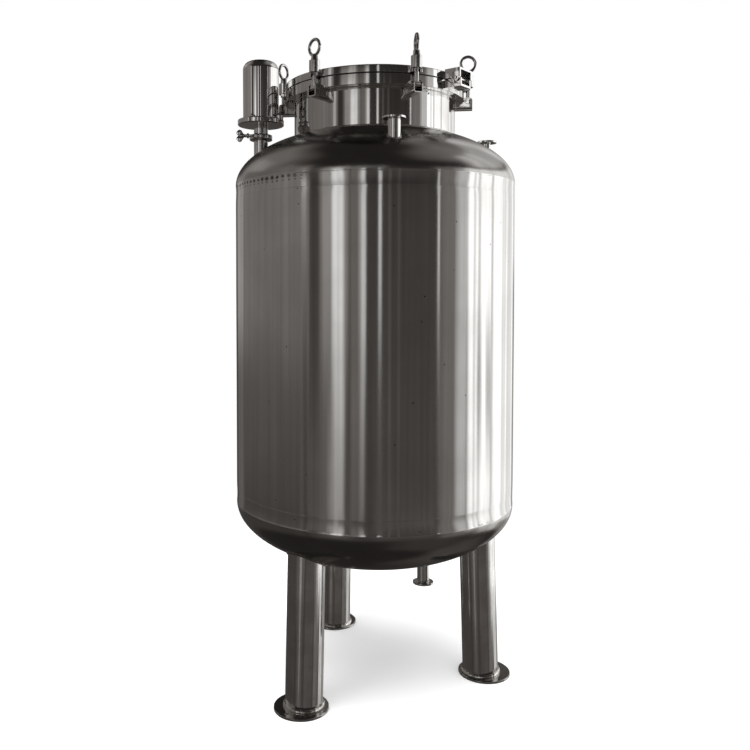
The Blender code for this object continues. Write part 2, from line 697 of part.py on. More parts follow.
def build_clamp(shop):
    """Make the clamp ring over the two ferrules, with its bolt and wing nut."""
    joint = BREATHER_JOINT_Z
    lip = BREATHER_PIPE + CLAMP_LIP
    seat = BREATHER_FERRULE + GAP
    outside = BREATHER_FERRULE + CLAMP_DEPTH
    half = FERRULE_THICKNESS + 2 * GAP
    edge = half + CLAMP_LIP
    ring = turned([(outside, joint + edge), (outside, joint - edge), (lip, joint - edge), (lip, joint - half),
                   (seat, joint - half), (seat, joint + half), (lip, joint + half), (lip, joint + edge)],
                  TUBE_STEPS)
    shop.piece(at_breather(ring), "breather_clamp", "polished_steel")
    bolt_y = -(outside + CLAMP_BOLT_STANDS_OFF)
    overlap = CLAMP_BOLT_RADIUS
    ear_depth = (bolt_y - CLAMP_EAR_DEPTH, -outside + overlap)
    ear_height = (joint - CLAMP_EAR_HALF_HEIGHT, joint + CLAMP_EAR_HALF_HEIGHT)
    knuckle_depth = (outside - overlap, outside + CLAMP_KNUCKLE_REACH)
    knuckle_width = (-CLAMP_EAR_HALF_HEIGHT, CLAMP_EAR_HALF_HEIGHT)
    operands = [
        (block(CLAMP_EARS[0], ear_depth, ear_height), "ear_left"),
        (block(CLAMP_EARS[1], ear_depth, ear_height), "ear_right"),
        (along_x(CLAMP_BOLT_RADIUS, CLAMP_BOLT_SPAN, bolt_y, joint), "clamp_bolt"),
        (along_x(WING_HUB_RADIUS, WING_HUB_SPAN, bolt_y, joint), "wing_nut_hub"),
        (block(knuckle_depth, knuckle_width, ear_height), "clamp_knuckle"),
    ]
    length, thickness, height = WING_SIZE
    for name, lean in (("wing_upper", WING_LEAN), ("wing_lower", -WING_LEAN)):
        wing = block((-length / 2, length / 2), (-thickness / 2, thickness / 2), (0.0, height))
        tilt = Matrix.Rotation(math.radians(lean - 90.0), 4, "Y")
        wing.data.transform(Matrix.Translation((WING_ROOT, bolt_y, joint)) @ tilt)
        operands.append((wing, name))
    for tool, name in operands:
        boolean(ring, shop.tool(at_breather(tool), name), "UNION")


def build_breather_head(shop):
    """Make the breather's base disc with its two screws and its knob, and its domed cover."""
    bottom = BREATHER_DISC_Z
    top = bottom + BREATHER_DISC_THICKNESS
    disc = turned(ring_profile(BREATHER_PIPE - TUBE_WALL, BREATHER_DISC_RADIUS, bottom, top), TUBE_STEPS)
    shop.piece(at_breather(disc), "breather_base", "polished_steel")
    circle = (BREATHER_DISC_RADIUS + BREATHER_COVER_RADIUS) / 2
    for number, azimuth in enumerate(BREATHER_SCREWS, 1):
        spot = direction(azimuth) * circle
        screw = post(BREATHER_SCREW_RADIUS, top - SINK, top + BREATHER_SCREW_HEIGHT, centre=(spot.x, spot.y),
                     steps=PIN_STEPS)
        boolean(disc, shop.tool(at_breather(screw), "breather_screw_%d" % number), "UNION")
    spot = direction(BREATHER_KNOB["azimuth"]) * BREATHER_KNOB["circle"]
    knob = post(BREATHER_KNOB["radius"], BREATHER_KNOB["low"], BREATHER_KNOB["high"], centre=(spot.x, spot.y),
                steps=PIN_STEPS)
    boolean(disc, shop.tool(at_breather(knob), "breather_knob"), "UNION")
    radius = BREATHER_COVER_RADIUS
    wall = BREATHER_COVER_WALL
    corner = BREATHER_COVER_CORNER
    crown = BREATHER_COVER_TOP
    centre = (radius - corner, crown - corner - BREATHER_COVER_CROWN)
    outer = [(0.0, crown)] + arc(centre, corner, BREATHER_COVER_CORNER_END, 0.0, 3)
    inner = [(0.0, crown - wall)] + arc(centre, corner - wall, BREATHER_COVER_CORNER_END, 0.0, 3)
    rest = top + GAP
    cover = turned(outer + [(radius, rest), (radius - wall, rest)] + inner[::-1], TUBE_STEPS, closed=False)
    shop.piece(at_breather(cover), "breather_cover", "polished_steel")


def build_legs(shop, bottom_solid):
    """Make the three splayed legs, each cut to the bottom head, on its foot plate."""
    reach = SHELL_RADIUS
    below = -2 * OVERRUN
    floor = block((-reach, reach), (-reach, reach), (2 * below, FOOT_THICKNESS + GAP))
    shop.tool(floor, "leg_base_cut")
    for place_name, azimuth in LEG_AZIMUTHS.items():
        section = ring_profile(LEG_RADIUS - LEG_WALL, LEG_RADIUS, below, LOWER_TANGENT_Z)
        leg = set_at(turned(section, TUBE_STEPS), azimuth, LEG_CIRCLE)
        leg.rotation_euler.y = -math.radians(LEG_SPLAY)
        shop.piece(leg, "leg_" + place_name, "polished_steel")
        boolean(leg, floor, "DIFFERENCE")
        boolean(leg, bottom_solid, "DIFFERENCE")
        plate = set_at(post(FOOT_RADIUS, 0.0, FOOT_THICKNESS), azimuth, FOOT_CIRCLE)
        shop.piece(plate, "foot_plate_" + place_name, "polished_steel")
        hole = post(ANCHOR_HOLE_RADIUS, -OVERRUN, FOOT_THICKNESS + OVERRUN, centre=(ANCHOR_HOLE_OFFSET, 0.0),
                    steps=PIN_STEPS)
        shop.tool(set_at(hole, azimuth, FOOT_CIRCLE), "anchor_hole_" + place_name)
        boolean(plate, hole, "DIFFERENCE")


def build_tank():
    """Build the whole tank."""
    clear_scene()
    shop = Workshop()
    build_vessel(shop)
    build_manway(shop)
    build_swing_bolts(shop)
    build_hinge(shop)
    top_solid, bottom_solid = build_nozzles(shop)
    build_breather(shop, top_solid)
    build_legs(shop, bottom_solid)


build_tank()
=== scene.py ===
"""Looks of an upright stainless steel storage tank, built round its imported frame.

Each class models one sub-assembly with Blender's modelling operators, in metres, +Z up, with
the tank's axis on Z and the floor at height 0. An azimuth is an angle round the tank in
degrees, from the front (-Y) towards the right (+X). A fitting frame stands at an azimuth with
its X pointing outward.
"""

import logging
import math
from contextlib import contextmanager
from dataclasses import dataclass
from enum import Enum
from typing import Callable, ClassVar, Iterator, Sequence

import bpy
from mathutils import Matrix, Vector, noise

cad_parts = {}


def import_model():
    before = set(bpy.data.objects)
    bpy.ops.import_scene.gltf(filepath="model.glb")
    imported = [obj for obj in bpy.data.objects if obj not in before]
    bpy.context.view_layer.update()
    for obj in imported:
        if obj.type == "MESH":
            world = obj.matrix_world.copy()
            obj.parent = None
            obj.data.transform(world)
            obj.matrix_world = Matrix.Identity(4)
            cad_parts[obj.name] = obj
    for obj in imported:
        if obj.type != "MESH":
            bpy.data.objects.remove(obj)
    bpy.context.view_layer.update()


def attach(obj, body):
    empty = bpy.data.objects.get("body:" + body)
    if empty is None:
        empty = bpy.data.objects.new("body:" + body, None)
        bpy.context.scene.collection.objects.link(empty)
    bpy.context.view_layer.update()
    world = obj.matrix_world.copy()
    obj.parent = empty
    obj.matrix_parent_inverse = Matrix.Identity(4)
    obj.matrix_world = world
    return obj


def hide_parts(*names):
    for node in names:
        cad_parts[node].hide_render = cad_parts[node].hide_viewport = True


LOG = logging.getLogger("tank")

GAP = 0.0003
MERGE = 0.00001
OVERRUN = 0.010
RIM_OVERLAP = 0.006
NECK_FOOT = 1.9
DRILL_REACH = 0.4
SHELL_RADIUS = 0.500
LARGE_STEPS = 240
ROUND_STEPS = 96
BEAD_STEPS = 128
BEAD_RIPPLES = 260.0
SMALL_STEPS = 40
CROSSWISE = Matrix(((0, 0, 1, 0), (1, 0, 0, 0), (0, 1, 0, 0), (0, 0, 0, 1)))

Point = tuple[float, float]
Colour = tuple[float, float, float]


def outward(azimuth: float) -> Vector:
    """Return the level unit vector that points outward at an azimuth."""
    angle = math.radians(azimuth)
    return Vector((math.sin(angle), -math.cos(angle), 0.0))


def fitting_frame(azimuth: float, radius: float = 0.0, height: float = 0.0, lean: float = 0.0) -> Matrix:
    """Return the matrix of a fitting frame.

    Args:
        azimuth: Where round the tank the fitting stands, in degrees.
        radius: How far from the tank's axis.
        height: How high above the floor.
        lean: How far its top leans inward, in degrees.

    Returns:
        The frame's matrix, with X outward and Z up.
    """
    place = Matrix.Translation(outward(azimuth) * radius + Vector((0.0, 0.0, height)))
    turn = Matrix.Rotation(math.radians(azimuth - 90.0), 4, "Z")
    return place @ turn @ Matrix.Rotation(math.radians(-lean), 4, "Y")


def rounded(corners: Sequence[tuple[float, ...]], steps: int = 3) -> list[Point]:
    """Return a closed outline whose corners are arcs.

    Args:
        corners: Each corner's x and y, and its radius where it is round.
        steps: How many edges each arc has.

    Returns:
        The outline's points in the corners' order.
    """
    points = []
    for index, (x, y, *radius) in enumerate(corners):
        here = Vector((x, y))
        if not radius:
            points.append((x, y))
            continue
        back = (Vector(corners[index - 1][:2]) - here).normalized()
        ahead = (Vector(corners[(index + 1) % len(corners)][:2]) - here).normalized()
        half = back.angle(ahead) / 2
        reach = radius[0] / math.tan(half)
        centre = here + (back + ahead).normalized() * (radius[0] / math.sin(half))
        for step in range(steps + 1):
            chord = (here + back * reach).lerp(here + ahead * reach, step / steps)
            points.append(tuple(centre + (chord - centre).normalized() * radius[0]))
    return points


def arc(centre: Point, radius: float, start: float, end: float, steps: int) -> list[Point]:
    """Return the points of an arc, from one angle to another in degrees."""
    angles = [math.radians(start + (end - start) * step / steps) for step in range(steps + 1)]
    return [(centre[0] + radius * math.cos(angle), centre[1] + radius * math.sin(angle)) for angle in angles]


def spread(start: float, end: float, steps: int) -> list[float]:
    """Return evenly spread numbers from start to end, both included."""
    return [start + (end - start) * step / steps for step in range(steps + 1)]


class Bench:
    """Blender's modelling operators, used on one piece at a time."""

    @staticmethod
    def clear() -> None:
        """Deselect everything."""
        bpy.ops.object.select_all(action="DESELECT")

    def take(self, *pieces: bpy.types.Object) -> None:
        """Select some pieces alone, the first of them active.

        Args:
            pieces: The pieces to select.
        """
        self.clear()
        for piece in pieces:
            piece.select_set(True)
        bpy.context.view_layer.objects.active = pieces[0]

    @contextmanager
    def editing(self, piece: bpy.types.Object) -> Iterator[None]:
        """Hold a piece in edit mode, selected all over.

        Args:
            piece: The piece to edit.

        Returns:
            A context that ends edit mode when it is left.
        """
        self.take(piece)
        bpy.ops.object.mode_set(mode="EDIT")
        bpy.ops.mesh.select_all(action="SELECT")
        yield
        bpy.ops.object.mode_set(mode="OBJECT")

    @staticmethod
    def close_seams() -> None:
        """Merge doubled points, drop loose ones and point the faces outward."""
        bpy.ops.mesh.select_all(action="SELECT")
        bpy.ops.mesh.remove_doubles(threshold=MERGE)
        bpy.ops.mesh.delete_loose(use_verts=True, use_edges=True, use_faces=False)
        bpy.ops.mesh.select_all(action="SELECT")
        bpy.ops.mesh.normals_make_consistent(inside=False)

    def loop(self, name: str, points: Sequence[Vector], filled: bool) -> bpy.types.Object:
        """Return a circle whose points are drawn out to the places given.

        Args:
            name: The piece's name.
            points: Where its points go, in order.
            filled: Whether it has a face.

        Returns:
            The drawn-out circle.
        """
        self.clear()
        fill = "NGON" if filled else "NOTHING"
        bpy.ops.mesh.primitive_circle_add(vertices=len(points), radius=1.0, fill_type=fill)
        piece = bpy.context.object
        piece.name = name
        for vertex, point in zip(piece.data.vertices, points):
            vertex.co = point
        return piece

    def turned(self, name: str, outline: Sequence[Point], steps: int = SMALL_STEPS) -> bpy.types.Object:
        """Spin a closed outline about Z.

        Args:
            name: The piece's name.
            outline: Points of radius and height.
            steps: How many steps a full turn has.

        Returns:
            The turned piece, centred on Z.
        """
        piece = self.loop(name, [Vector((radius, 0.0, height)) for radius, height in outline], False)
        with self.editing(piece):
            bpy.ops.mesh.spin(steps=steps, angle=math.tau, center=(0.0, 0.0, 0.0), axis=(0.0, 0.0, 1.0))
            self.close_seams()
        return piece

    def plate(self, name: str, outline: Sequence[Point], low: float, high: float) -> bpy.types.Object:
        """Extrude an outline in XY from one height to another.

        Args:
            name: The piece's name.
            outline: The outline's points.
            low: The height of its lower face.
            high: The height of its upper face.

        Returns:
            The plate.
        """
        piece = self.loop(name, [Vector((x, y, low)) for x, y in outline], True)
        with self.editing(piece):
            bpy.ops.mesh.extrude_region_move(TRANSFORM_OT_translate={"value": (0.0, 0.0, high - low)})
            self.close_seams()
        return piece

    def block(self, name: str, low: Sequence[float], high: Sequence[float], edge: float = 0.0,
              segments: int = 2) -> bpy.types.Object:
        """Return a box between two corners.

        Args:
            name: The piece's name.
            low: The corner with the least of each coordinate.
            high: The opposite corner.
            edge: How wide its edges are bevelled.
            segments: How many facets each bevel has.

        Returns:
            The box.
        """
        self.clear()
        low, high = Vector(low), Vector(high)
        bpy.ops.mesh.primitive_cube_add(size=1.0, location=(low + high) / 2, scale=high - low)
        piece = bpy.context.object
        piece.name = name
        self.apply_place(piece)
        if edge:
            with self.editing(piece):
                bpy.ops.mesh.bevel(offset=edge, segments=segments, affect="EDGES")
        return piece

    def bar(self, name: str, radius: float, low: float, high: float, edge: float = 0.0,
            steps: int = SMALL_STEPS) -> bpy.types.Object:
        """Return a round bar on Z.

        Args:
            name: The piece's name.
            radius: The bar's radius.
            low: The height of its lower end.
            high: The height of its upper end.
            edge: The radius of its rounded ends.
            steps: How many steps a full turn has.

        Returns:
            The bar.
        """
        ends = [edge] if edge else []
        outline = rounded([(0.0, low), (radius, low, *ends), (radius, high, *ends), (0.0, high)])
        return self.turned(name, outline, steps)

    def cross_bar(self, name: str, radius: float, width: float, centre: Sequence[float] = (0.0, 0.0, 0.0),
                  edge: float = 0.0, steps: int = SMALL_STEPS) -> bpy.types.Object:
        """Return a round bar that lies along Y, centred on a point."""
        piece = self.bar(name, radius, -width / 2, width / 2, edge, steps)
        return self.place(piece, Matrix.Translation(Vector(centre)) @ Matrix.Rotation(math.pi / 2, 4, "X"))

    def ring(self, name: str, radius: float, wire: float, steps: int = 64, wire_steps: int = 14,
             flatten: float = 1.0) -> bpy.types.Object:
        """Return a ring of round wire about Z.

        Args:
            name: The piece's name.
            radius: The radius of the wire's middle line.
            wire: The wire's own radius.
            steps: How many steps the ring has.
            wire_steps: How many steps the wire has.
            flatten: A factor on its height.

        Returns:
            The ring.
        """
        self.clear()
        bpy.ops.mesh.primitive_torus_add(major_radius=radius, minor_radius=wire, major_segments=steps,
                                         minor_segments=wire_steps)
        piece = bpy.context.object
        piece.name = name
        with self.editing(piece):
            bpy.ops.transform.resize(value=(1.0, 1.0, flatten), center_override=(0.0, 0.0, 0.0))
        return piece

    def apply_place(self, piece: bpy.types.Object) -> None:
        """Move a piece's place, turn and scale into its mesh."""
        self.take(piece)
        bpy.ops.object.transform_apply(location=True, rotation=True, scale=True)

    def place(self, piece: bpy.types.Object, matrix: Matrix) -> bpy.types.Object:
        """Move a piece by a matrix, which goes into its mesh.

        Args:
            piece: The piece.
            matrix: How it is moved.

        Returns:
            The piece.
        """
        piece.matrix_world = matrix @ piece.matrix_world
        self.apply_place(piece)
        return piece

    def copy(self, piece: bpy.types.Object, name: str, matrix: Matrix) -> bpy.types.Object:
        """Copy a piece.

        Args:
            piece: The piece to copy.
            name: The copy's name.
            matrix: How the copy is moved.

        Returns:
            The copy, with a mesh of its own.
        """
        self.take(piece)
        bpy.ops.object.duplicate(linked=False)
        made = bpy.context.object
        made.name = name
        return self.place(made, matrix)

    def combine(self, piece: bpy.types.Object, tool: bpy.types.Object, operation: str) -> None:
        """Cut or fuse a piece with a tool, which is used up.

        Args:
            piece: The piece that changes.
            tool: The shape that cuts it or is fused to it.
            operation: Blender's name for what is done.
        """
        self.take(piece)
        modifier = piece.modifiers.new("combine", "BOOLEAN")
        modifier.operation = operation
        modifier.object = tool
        bpy.ops.object.modifier_apply(modifier=modifier.name)
        bpy.data.objects.remove(tool)

    def bevel(self, piece: bpy.types.Object, width: float, segments: int = 2, angle: float = 35.0) -> None:
        """Round a piece's edges.

        Args:
            piece: The piece.
            width: How wide the bevel is.
            segments: How many facets it has.
            angle: Edges sharper than this are rounded, in degrees.
        """
        self.take(piece)
        modifier = piece.modifiers.new("bevel", "BEVEL")
        modifier.width = width
        modifier.segments = segments
        modifier.limit_method = "ANGLE"
        modifier.angle_limit = math.radians(angle)
        bpy.ops.object.modifier_apply(modifier=modifier.name)

    def join(self, *pieces: bpy.types.Object) -> bpy.types.Object:
        """Join pieces into the first one, each keeping its material.

        Args:
            pieces: The pieces, which are used up but for the first.

        Returns:
            The first piece.
        """
        self.take(*pieces)
        bpy.ops.object.join()
        return pieces[0]

    def smooth(self, piece: bpy.types.Object, angle: float = 30.0, flat: bool = True) -> None:
        """Shade a piece smooth.

        Args:
            piece: The piece.
            angle: Edges sharper than this stay sharp, in degrees.
            flat: Whether its large faces are shaded flat.
        """
        self.take(piece)
        bpy.ops.object.shade_smooth_by_angle(angle=math.radians(angle))
        if not flat:
            return
        modifier = piece.modifiers.new("flat_faces", "WEIGHTED_NORMAL")
        modifier.keep_sharp = True
        bpy.ops.object.modifier_apply(modifier=modifier.name)


def shift_points(piece: bpy.types.Object, moved: Callable[[Vector], Vector]) -> None:
    """Put each point of a piece where a function says."""
    for vertex in piece.data.vertices:
        vertex.co = moved(vertex.co.copy())


class Wiring:
    """A shader tree that is built node by node."""

    def __init__(self, tree: bpy.types.NodeTree) -> None:
        """Take the tree to build in."""
        self.tree = tree

    def node(self, kind: str, inputs: dict | None = None, **settings) -> bpy.types.Node:
        """Add a node.

        Args:
            kind: Blender's name for the node type.
            inputs: A value or a socket for each input, by its name or number.
            settings: The node's own settings.

        Returns:
            The new node.
        """
        made = self.tree.nodes.new(kind)
        for name, value in settings.items():
            setattr(made, name, value)
        for name, value in (inputs or {}).items():
            self.feed(made.inputs[name], value)
        return made

    def feed(self, socket: bpy.types.NodeSocket, value: object) -> None:
        """Link a socket to another, or set its value.

        Args:
            socket: The input socket.
            value: A socket to link it to, or its value.
        """
        if isinstance(value, bpy.types.NodeSocket):
            self.tree.links.new(value, socket)
        else:
            socket.default_value = value

    def sum(self, operation: str, *values: object, clamp: bool = False) -> bpy.types.NodeSocket:
        """Return the result of a Math node."""
        inputs = dict(enumerate(values))
        return self.node("ShaderNodeMath", inputs, operation=operation, use_clamp=clamp).outputs[0]

    def step(self, value: object, start: object, end: object) -> bpy.types.NodeSocket:
        """Return a smooth step, 0 where value is at start and 1 where it is at end."""
        inputs = {"Value": value, "From Min": start, "From Max": end, "To Min": 0.0, "To Max": 1.0}
        return self.node("ShaderNodeMapRange", inputs, interpolation_type="SMOOTHSTEP").outputs["Result"]

    def lerp(self, value: object, low: float, high: float) -> bpy.types.NodeSocket:
        """Return a number from low to high as value goes from 0 to 1."""
        inputs = {"Value": value, "From Min": 0.0, "From Max": 1.0, "To Min": low, "To Max": high}
        return self.node("ShaderNodeMapRange", inputs).outputs["Result"]

    def mix(self, factor: object, first: object, second: object) -> bpy.types.NodeSocket:
        """Mix two colours.

        Args:
            factor: The second colour's share.
            first: A colour or a socket.
            second: Another.

        Returns:
            The mix.
        """
        made = self.node("ShaderNodeMix", data_type="RGBA")
        self.feed(made.inputs["Factor"], factor)
        for number, colour in ((6, first), (7, second)):
            self.feed(made.inputs[number], (*colour, 1.0) if isinstance(colour, tuple) else colour)
        return made.outputs[2]

    def scaled(self, vector: bpy.types.NodeSocket, scale: Sequence[float]) -> bpy.types.NodeSocket:
        """Return a vector scaled by a Mapping node."""
        return self.node("ShaderNodeMapping", {"Vector": vector, "Scale": tuple(scale)}).outputs["Vector"]

    def clouds(self, vector: bpy.types.NodeSocket, scale: object,
               detail: float = 2.0) -> bpy.types.NodeSocket:
        """Return a noise texture's value."""
        inputs = {"Vector": vector, "Scale": scale, "Detail": detail}
        return self.node("ShaderNodeTexNoise", inputs).outputs["Fac"]

    def group(self, name: str, inputs: dict) -> bpy.types.Node:
        """Place a node group, with its inputs.

        Args:
            name: The group's name.
            inputs: A value or a socket for each input, by its name.

        Returns:
            The group's node.
        """
        made = self.node("ShaderNodeGroup", node_tree=bpy.data.node_groups[name])
        for key, value in inputs.items():
            self.feed(made.inputs[key], value)
        return made


def new_group(name: str, inputs: dict[str, str], outputs: dict[str, str]) -> tuple[Wiring, bpy.types.Node]:
    """Start a node group.

    Args:
        name: The group's name.
        inputs: The kind of each input socket, by its name.
        outputs: The kind of each output socket, by its name.

    Returns:
        The group's wiring and its input node.
    """
    tree = bpy.data.node_groups.new(name, "ShaderNodeTree")
    for in_out, sockets in (("INPUT", inputs), ("OUTPUT", outputs)):
        for socket_name, kind in sockets.items():
            tree.interface.new_socket(socket_name, in_out=in_out, socket_type="NodeSocket" + kind)
    wiring = Wiring(tree)
    return wiring, wiring.node("NodeGroupInput")


def build_polish_lines() -> None:
    """Build the group that draws a polishing wheel's fine lines."""
    wiring, given = new_group("polish_lines", {"Vector": "Vector", "Fineness": "Float"}, {"Height": "Float"})
    lines = wiring.clouds(given.outputs["Vector"], given.outputs["Fineness"], 3.0)
    wiring.node("NodeGroupOutput", {"Height": lines})


def build_cloudy_polish() -> None:
    """Build the group that tells where the polish is dull."""
    wiring, given = new_group("cloudy_polish", {"Vector": "Vector", "Scale": "Float"}, {"Value": "Float"})
    soft = wiring.clouds(given.outputs["Vector"], given.outputs["Scale"], 3.0)
    wiring.node("NodeGroupOutput", {"Value": wiring.step(soft, 0.32, 0.68)})


def build_specks() -> None:
    """Build the group that scatters small round specks."""
    wiring, given = new_group("specks", {"Vector": "Vector", "Scale": "Float", "Radius": "Float"},
                              {"Mask": "Float"})
    cells = wiring.node("ShaderNodeTexVoronoi",
                        {"Vector": given.outputs["Vector"], "Scale": given.outputs["Scale"]})
    near = wiring.sum("DIVIDE", cells.outputs["Distance"], given.outputs["Scale"])
    inside = wiring.sum("DIVIDE", near, given.outputs["Radius"])
    wiring.node("NodeGroupOutput", {"Mask": wiring.step(inside, 1.0, 0.35)})


@dataclass(frozen=True)
class ShadedDimpleRow:
    """A ragged row of dimples that a seam weld leaves round the shell, painted dark as painted shade on its
    left side.
    """

    height: float
    radius: float
    count: float = 128.0
    strength: float = 0.8
    shake_scale: ClassVar[float] = 22.0
    shake: ClassVar[tuple[float, float, float]] = (0.012, 0.012, 0.008)
    size_scale: ClassVar[float] = 30.0
    size_factors: ClassVar[tuple[float, float]] = (0.3, 1.7)
    flatness: ClassVar[float] = 1.5
    # Where round the shell the dimples take their painted shade: its left side.
    side: ClassVar[tuple[float, float]] = (-0.16, -0.32)

    @classmethod
    def build_group(cls) -> None:
        """Build the group that draws any such row."""
        wiring, given = new_group("shaded_dimple_row", {"Vector": "Vector", "Height": "Float", "Count": "Float",
                                              "Radius": "Float", "Shell": "Float"}, {"Mask": "Float"})
        get = given.outputs
        shaken = wiring.node("ShaderNodeTexNoise", {"Vector": get["Vector"], "Scale": cls.shake_scale})
        shake = wiring.node("ShaderNodeVectorMath", {0: shaken.outputs["Color"], 1: (0.5, 0.5, 0.5)},
                            operation="SUBTRACT").outputs["Vector"]
        moved = wiring.node("ShaderNodeVectorMath", {0: shake, 1: cls.shake, 2: get["Vector"]},
                            operation="MULTIPLY_ADD")
        parts = wiring.node("ShaderNodeSeparateXYZ", {"Vector": moved.outputs["Vector"]})
        angle = wiring.sum("ARCTAN2", parts.outputs["X"], parts.outputs["Y"])
        turns = wiring.sum("MULTIPLY", wiring.sum("DIVIDE", angle, math.tau), get["Count"])
        off_centre = wiring.sum("SUBTRACT", wiring.sum("FRACT", turns), 0.5)
        pitch = wiring.sum("DIVIDE", wiring.sum("MULTIPLY", get["Shell"], math.tau), get["Count"])
        across = wiring.sum("MULTIPLY", off_centre, pitch)
        up = wiring.sum("MULTIPLY", wiring.sum("SUBTRACT", parts.outputs["Z"], get["Height"]), cls.flatness)
        distance = wiring.sum("SQRT", wiring.sum("ADD", wiring.sum("MULTIPLY", across, across),
                                                 wiring.sum("MULTIPLY", up, up)))
        size = wiring.sum("MULTIPLY", get["Radius"],
                          wiring.lerp(wiring.clouds(get["Vector"], cls.size_scale), *cls.size_factors))
        # The dimples are painted dark as painted shade, only on the shell's left side, where their shade
        # shows.
        dimple_shade = wiring.step(wiring.sum("DIVIDE", distance, size), 1.1, 0.3)
        side = wiring.step(parts.outputs["X"], *cls.side)
        wiring.node("NodeGroupOutput", {"Mask": wiring.sum("MULTIPLY", dimple_shade, side)})

    def mask(self, wiring: Wiring, place: bpy.types.NodeSocket) -> bpy.types.NodeSocket:
        """Place this row in a finish.

        Args:
            wiring: A finish's shader tree.
            place: The place on the piece.

        Returns:
            How dark each place is.
        """
        row = wiring.group("shaded_dimple_row", {"Vector": place, "Height": self.height, "Count": self.count,
                                       "Radius": self.radius, "Shell": SHELL_RADIUS}).outputs["Mask"]
        return wiring.sum("MULTIPLY", row, self.strength)


class Grain(Enum):
    """Which way a polishing wheel's lines run, as a scale for each axis."""

    LEVEL = (0.03, 0.03, 1.0)
    UPRIGHT = (1.0, 1.0, 0.03)
    EVEN = (1.0, 1.0, 1.0)


@dataclass(frozen=True)
class SteelFinish:
    """A stainless steel finish, its dark specks and the painted shade in its weld dimples."""

    name: str
    colour: Colour = (0.72, 0.715, 0.705)
    dull_colour: Colour = (0.60, 0.59, 0.575)
    roughness: float = 0.16
    dull_roughness: float = 0.22
    cloud_scale: float = 7.0
    grain: Grain = Grain.EVEN
    fineness: float = 300.0
    grain_depth: float = 0.00001
    wave_scale: Sequence[float] = (5.0, 5.0, 1.2)
    wave_depth: float = 0.0
    stretch: float = 0.0
    speck_scale: float = 16.0
    speck_radius: float = 0.0
    shaded_dimple_rows: tuple[ShadedDimpleRow, ...] = ()
    # The colour of the dark specks, and of the painted shade in the weld dimples.
    speck_and_shade_colour: Colour = (0.06, 0.05, 0.045)
    mark_roughness: float = 0.3

    def material(self) -> bpy.types.Material:
        """Build the finish as a material.

        Returns:
            The material.
        """
        made = bpy.data.materials.new(self.name)
        made.use_nodes = True
        wiring = Wiring(made.node_tree)
        shader = made.node_tree.nodes["Principled BSDF"]
        shader.inputs["Metallic"].default_value = 1.0
        place = wiring.node("ShaderNodeTexCoord").outputs["Object"]
        cloudy = wiring.group("cloudy_polish", {"Vector": place, "Scale": self.cloud_scale}).outputs["Value"]
        colour = wiring.mix(cloudy, self.colour, self.dull_colour)
        roughness = wiring.lerp(cloudy, self.roughness, self.dull_roughness)
        # Dark specks, and painted shade in the weld dimples, darken the colour and dull the polish.
        marks = self.marks(wiring, place)
        if marks is not None:
            colour = wiring.mix(marks, colour, self.speck_and_shade_colour)
            roughness = wiring.sum("ADD", roughness, wiring.sum("MULTIPLY", marks, self.mark_roughness))
        wiring.feed(shader.inputs["Base Color"], colour)
        wiring.feed(shader.inputs["Roughness"], roughness)
        wiring.feed(shader.inputs["Normal"], self.relief(wiring, place))
        if self.stretch:
            shader.inputs["Anisotropic"].default_value = self.stretch
            shader.inputs["Anisotropic Rotation"].default_value = 0.25
            tangent = wiring.node("ShaderNodeTangent", direction_type="RADIAL", axis="Z")
            wiring.feed(shader.inputs["Tangent"], tangent.outputs["Tangent"])
        return made

    def marks(self, wiring: Wiring, place: bpy.types.NodeSocket) -> bpy.types.NodeSocket | None:
        """Return where the dark specks and the painted shade of the weld dimples are.

        Args:
            wiring: The finish's shader tree.
            place: The place on the piece.

        Returns:
            The mask of the specks and of the painted shade in the dimples along a weld, or None where there
            are none.
        """
        found = None
        if self.speck_radius:
            specks = {"Vector": place, "Scale": self.speck_scale, "Radius": self.speck_radius}
            found = wiring.group("specks", specks).outputs["Mask"]
        for shaded_dimple_row in self.shaded_dimple_rows:
            row = shaded_dimple_row.mask(wiring, place)
            found = row if found is None else wiring.sum("MAXIMUM", found, row)
        return found

    def relief(self, wiring: Wiring, place: bpy.types.NodeSocket) -> bpy.types.NodeSocket:
        """Bend the normal by the wall's waves and by the polishing lines.

        Args:
            wiring: The finish's shader tree.
            place: The place on the piece.

        Returns:
            The bent normal.
        """
        lines = wiring.group("polish_lines", {"Vector": wiring.scaled(place, self.grain.value),
                                              "Fineness": self.fineness}).outputs["Height"]
        bump = wiring.node("ShaderNodeBump", {"Height": lines, "Distance": self.grain_depth, "Strength": 1.0})
        if self.wave_depth:
            waves = wiring.clouds(wiring.scaled(place, self.wave_scale), 1.0, 1.0)
            under = wiring.node("ShaderNodeBump", {"Height": waves, "Distance": self.wave_depth})
            wiring.feed(bump.inputs["Normal"], under.outputs["Normal"])
        return bump.outputs["Normal"]


@dataclass(frozen=True)
class RubberFinish:
    """Black gasket rubber with a fine skin."""

    name: str
    colour: Colour = (0.012, 0.012, 0.012)
    pale_colour: Colour = (0.030, 0.029, 0.028)
    roughness: tuple[float, float] = (0.55, 0.8)
    skin_scale: float = 600.0
    skin_depth: float = 0.0001

    def material(self) -> bpy.types.Material:
        """Build the finish as a material.

        Returns:
            The material.
        """
        made = bpy.data.materials.new(self.name)
        made.use_nodes = True
        wiring = Wiring(made.node_tree)
        shader = made.node_tree.nodes["Principled BSDF"]
        place = wiring.node("ShaderNodeTexCoord").outputs["Object"]
        skin = wiring.clouds(place, self.skin_scale, 3.0)
        wiring.feed(shader.inputs["Base Color"], wiring.mix(skin, self.colour, self.pale_colour))
        wiring.feed(shader.inputs["Roughness"], wiring.lerp(skin, *self.roughness))
        bump = wiring.node("ShaderNodeBump", {"Height": skin, "Distance": self.skin_depth})
        wiring.feed(shader.inputs["Normal"], bump.outputs["Normal"])
        return made
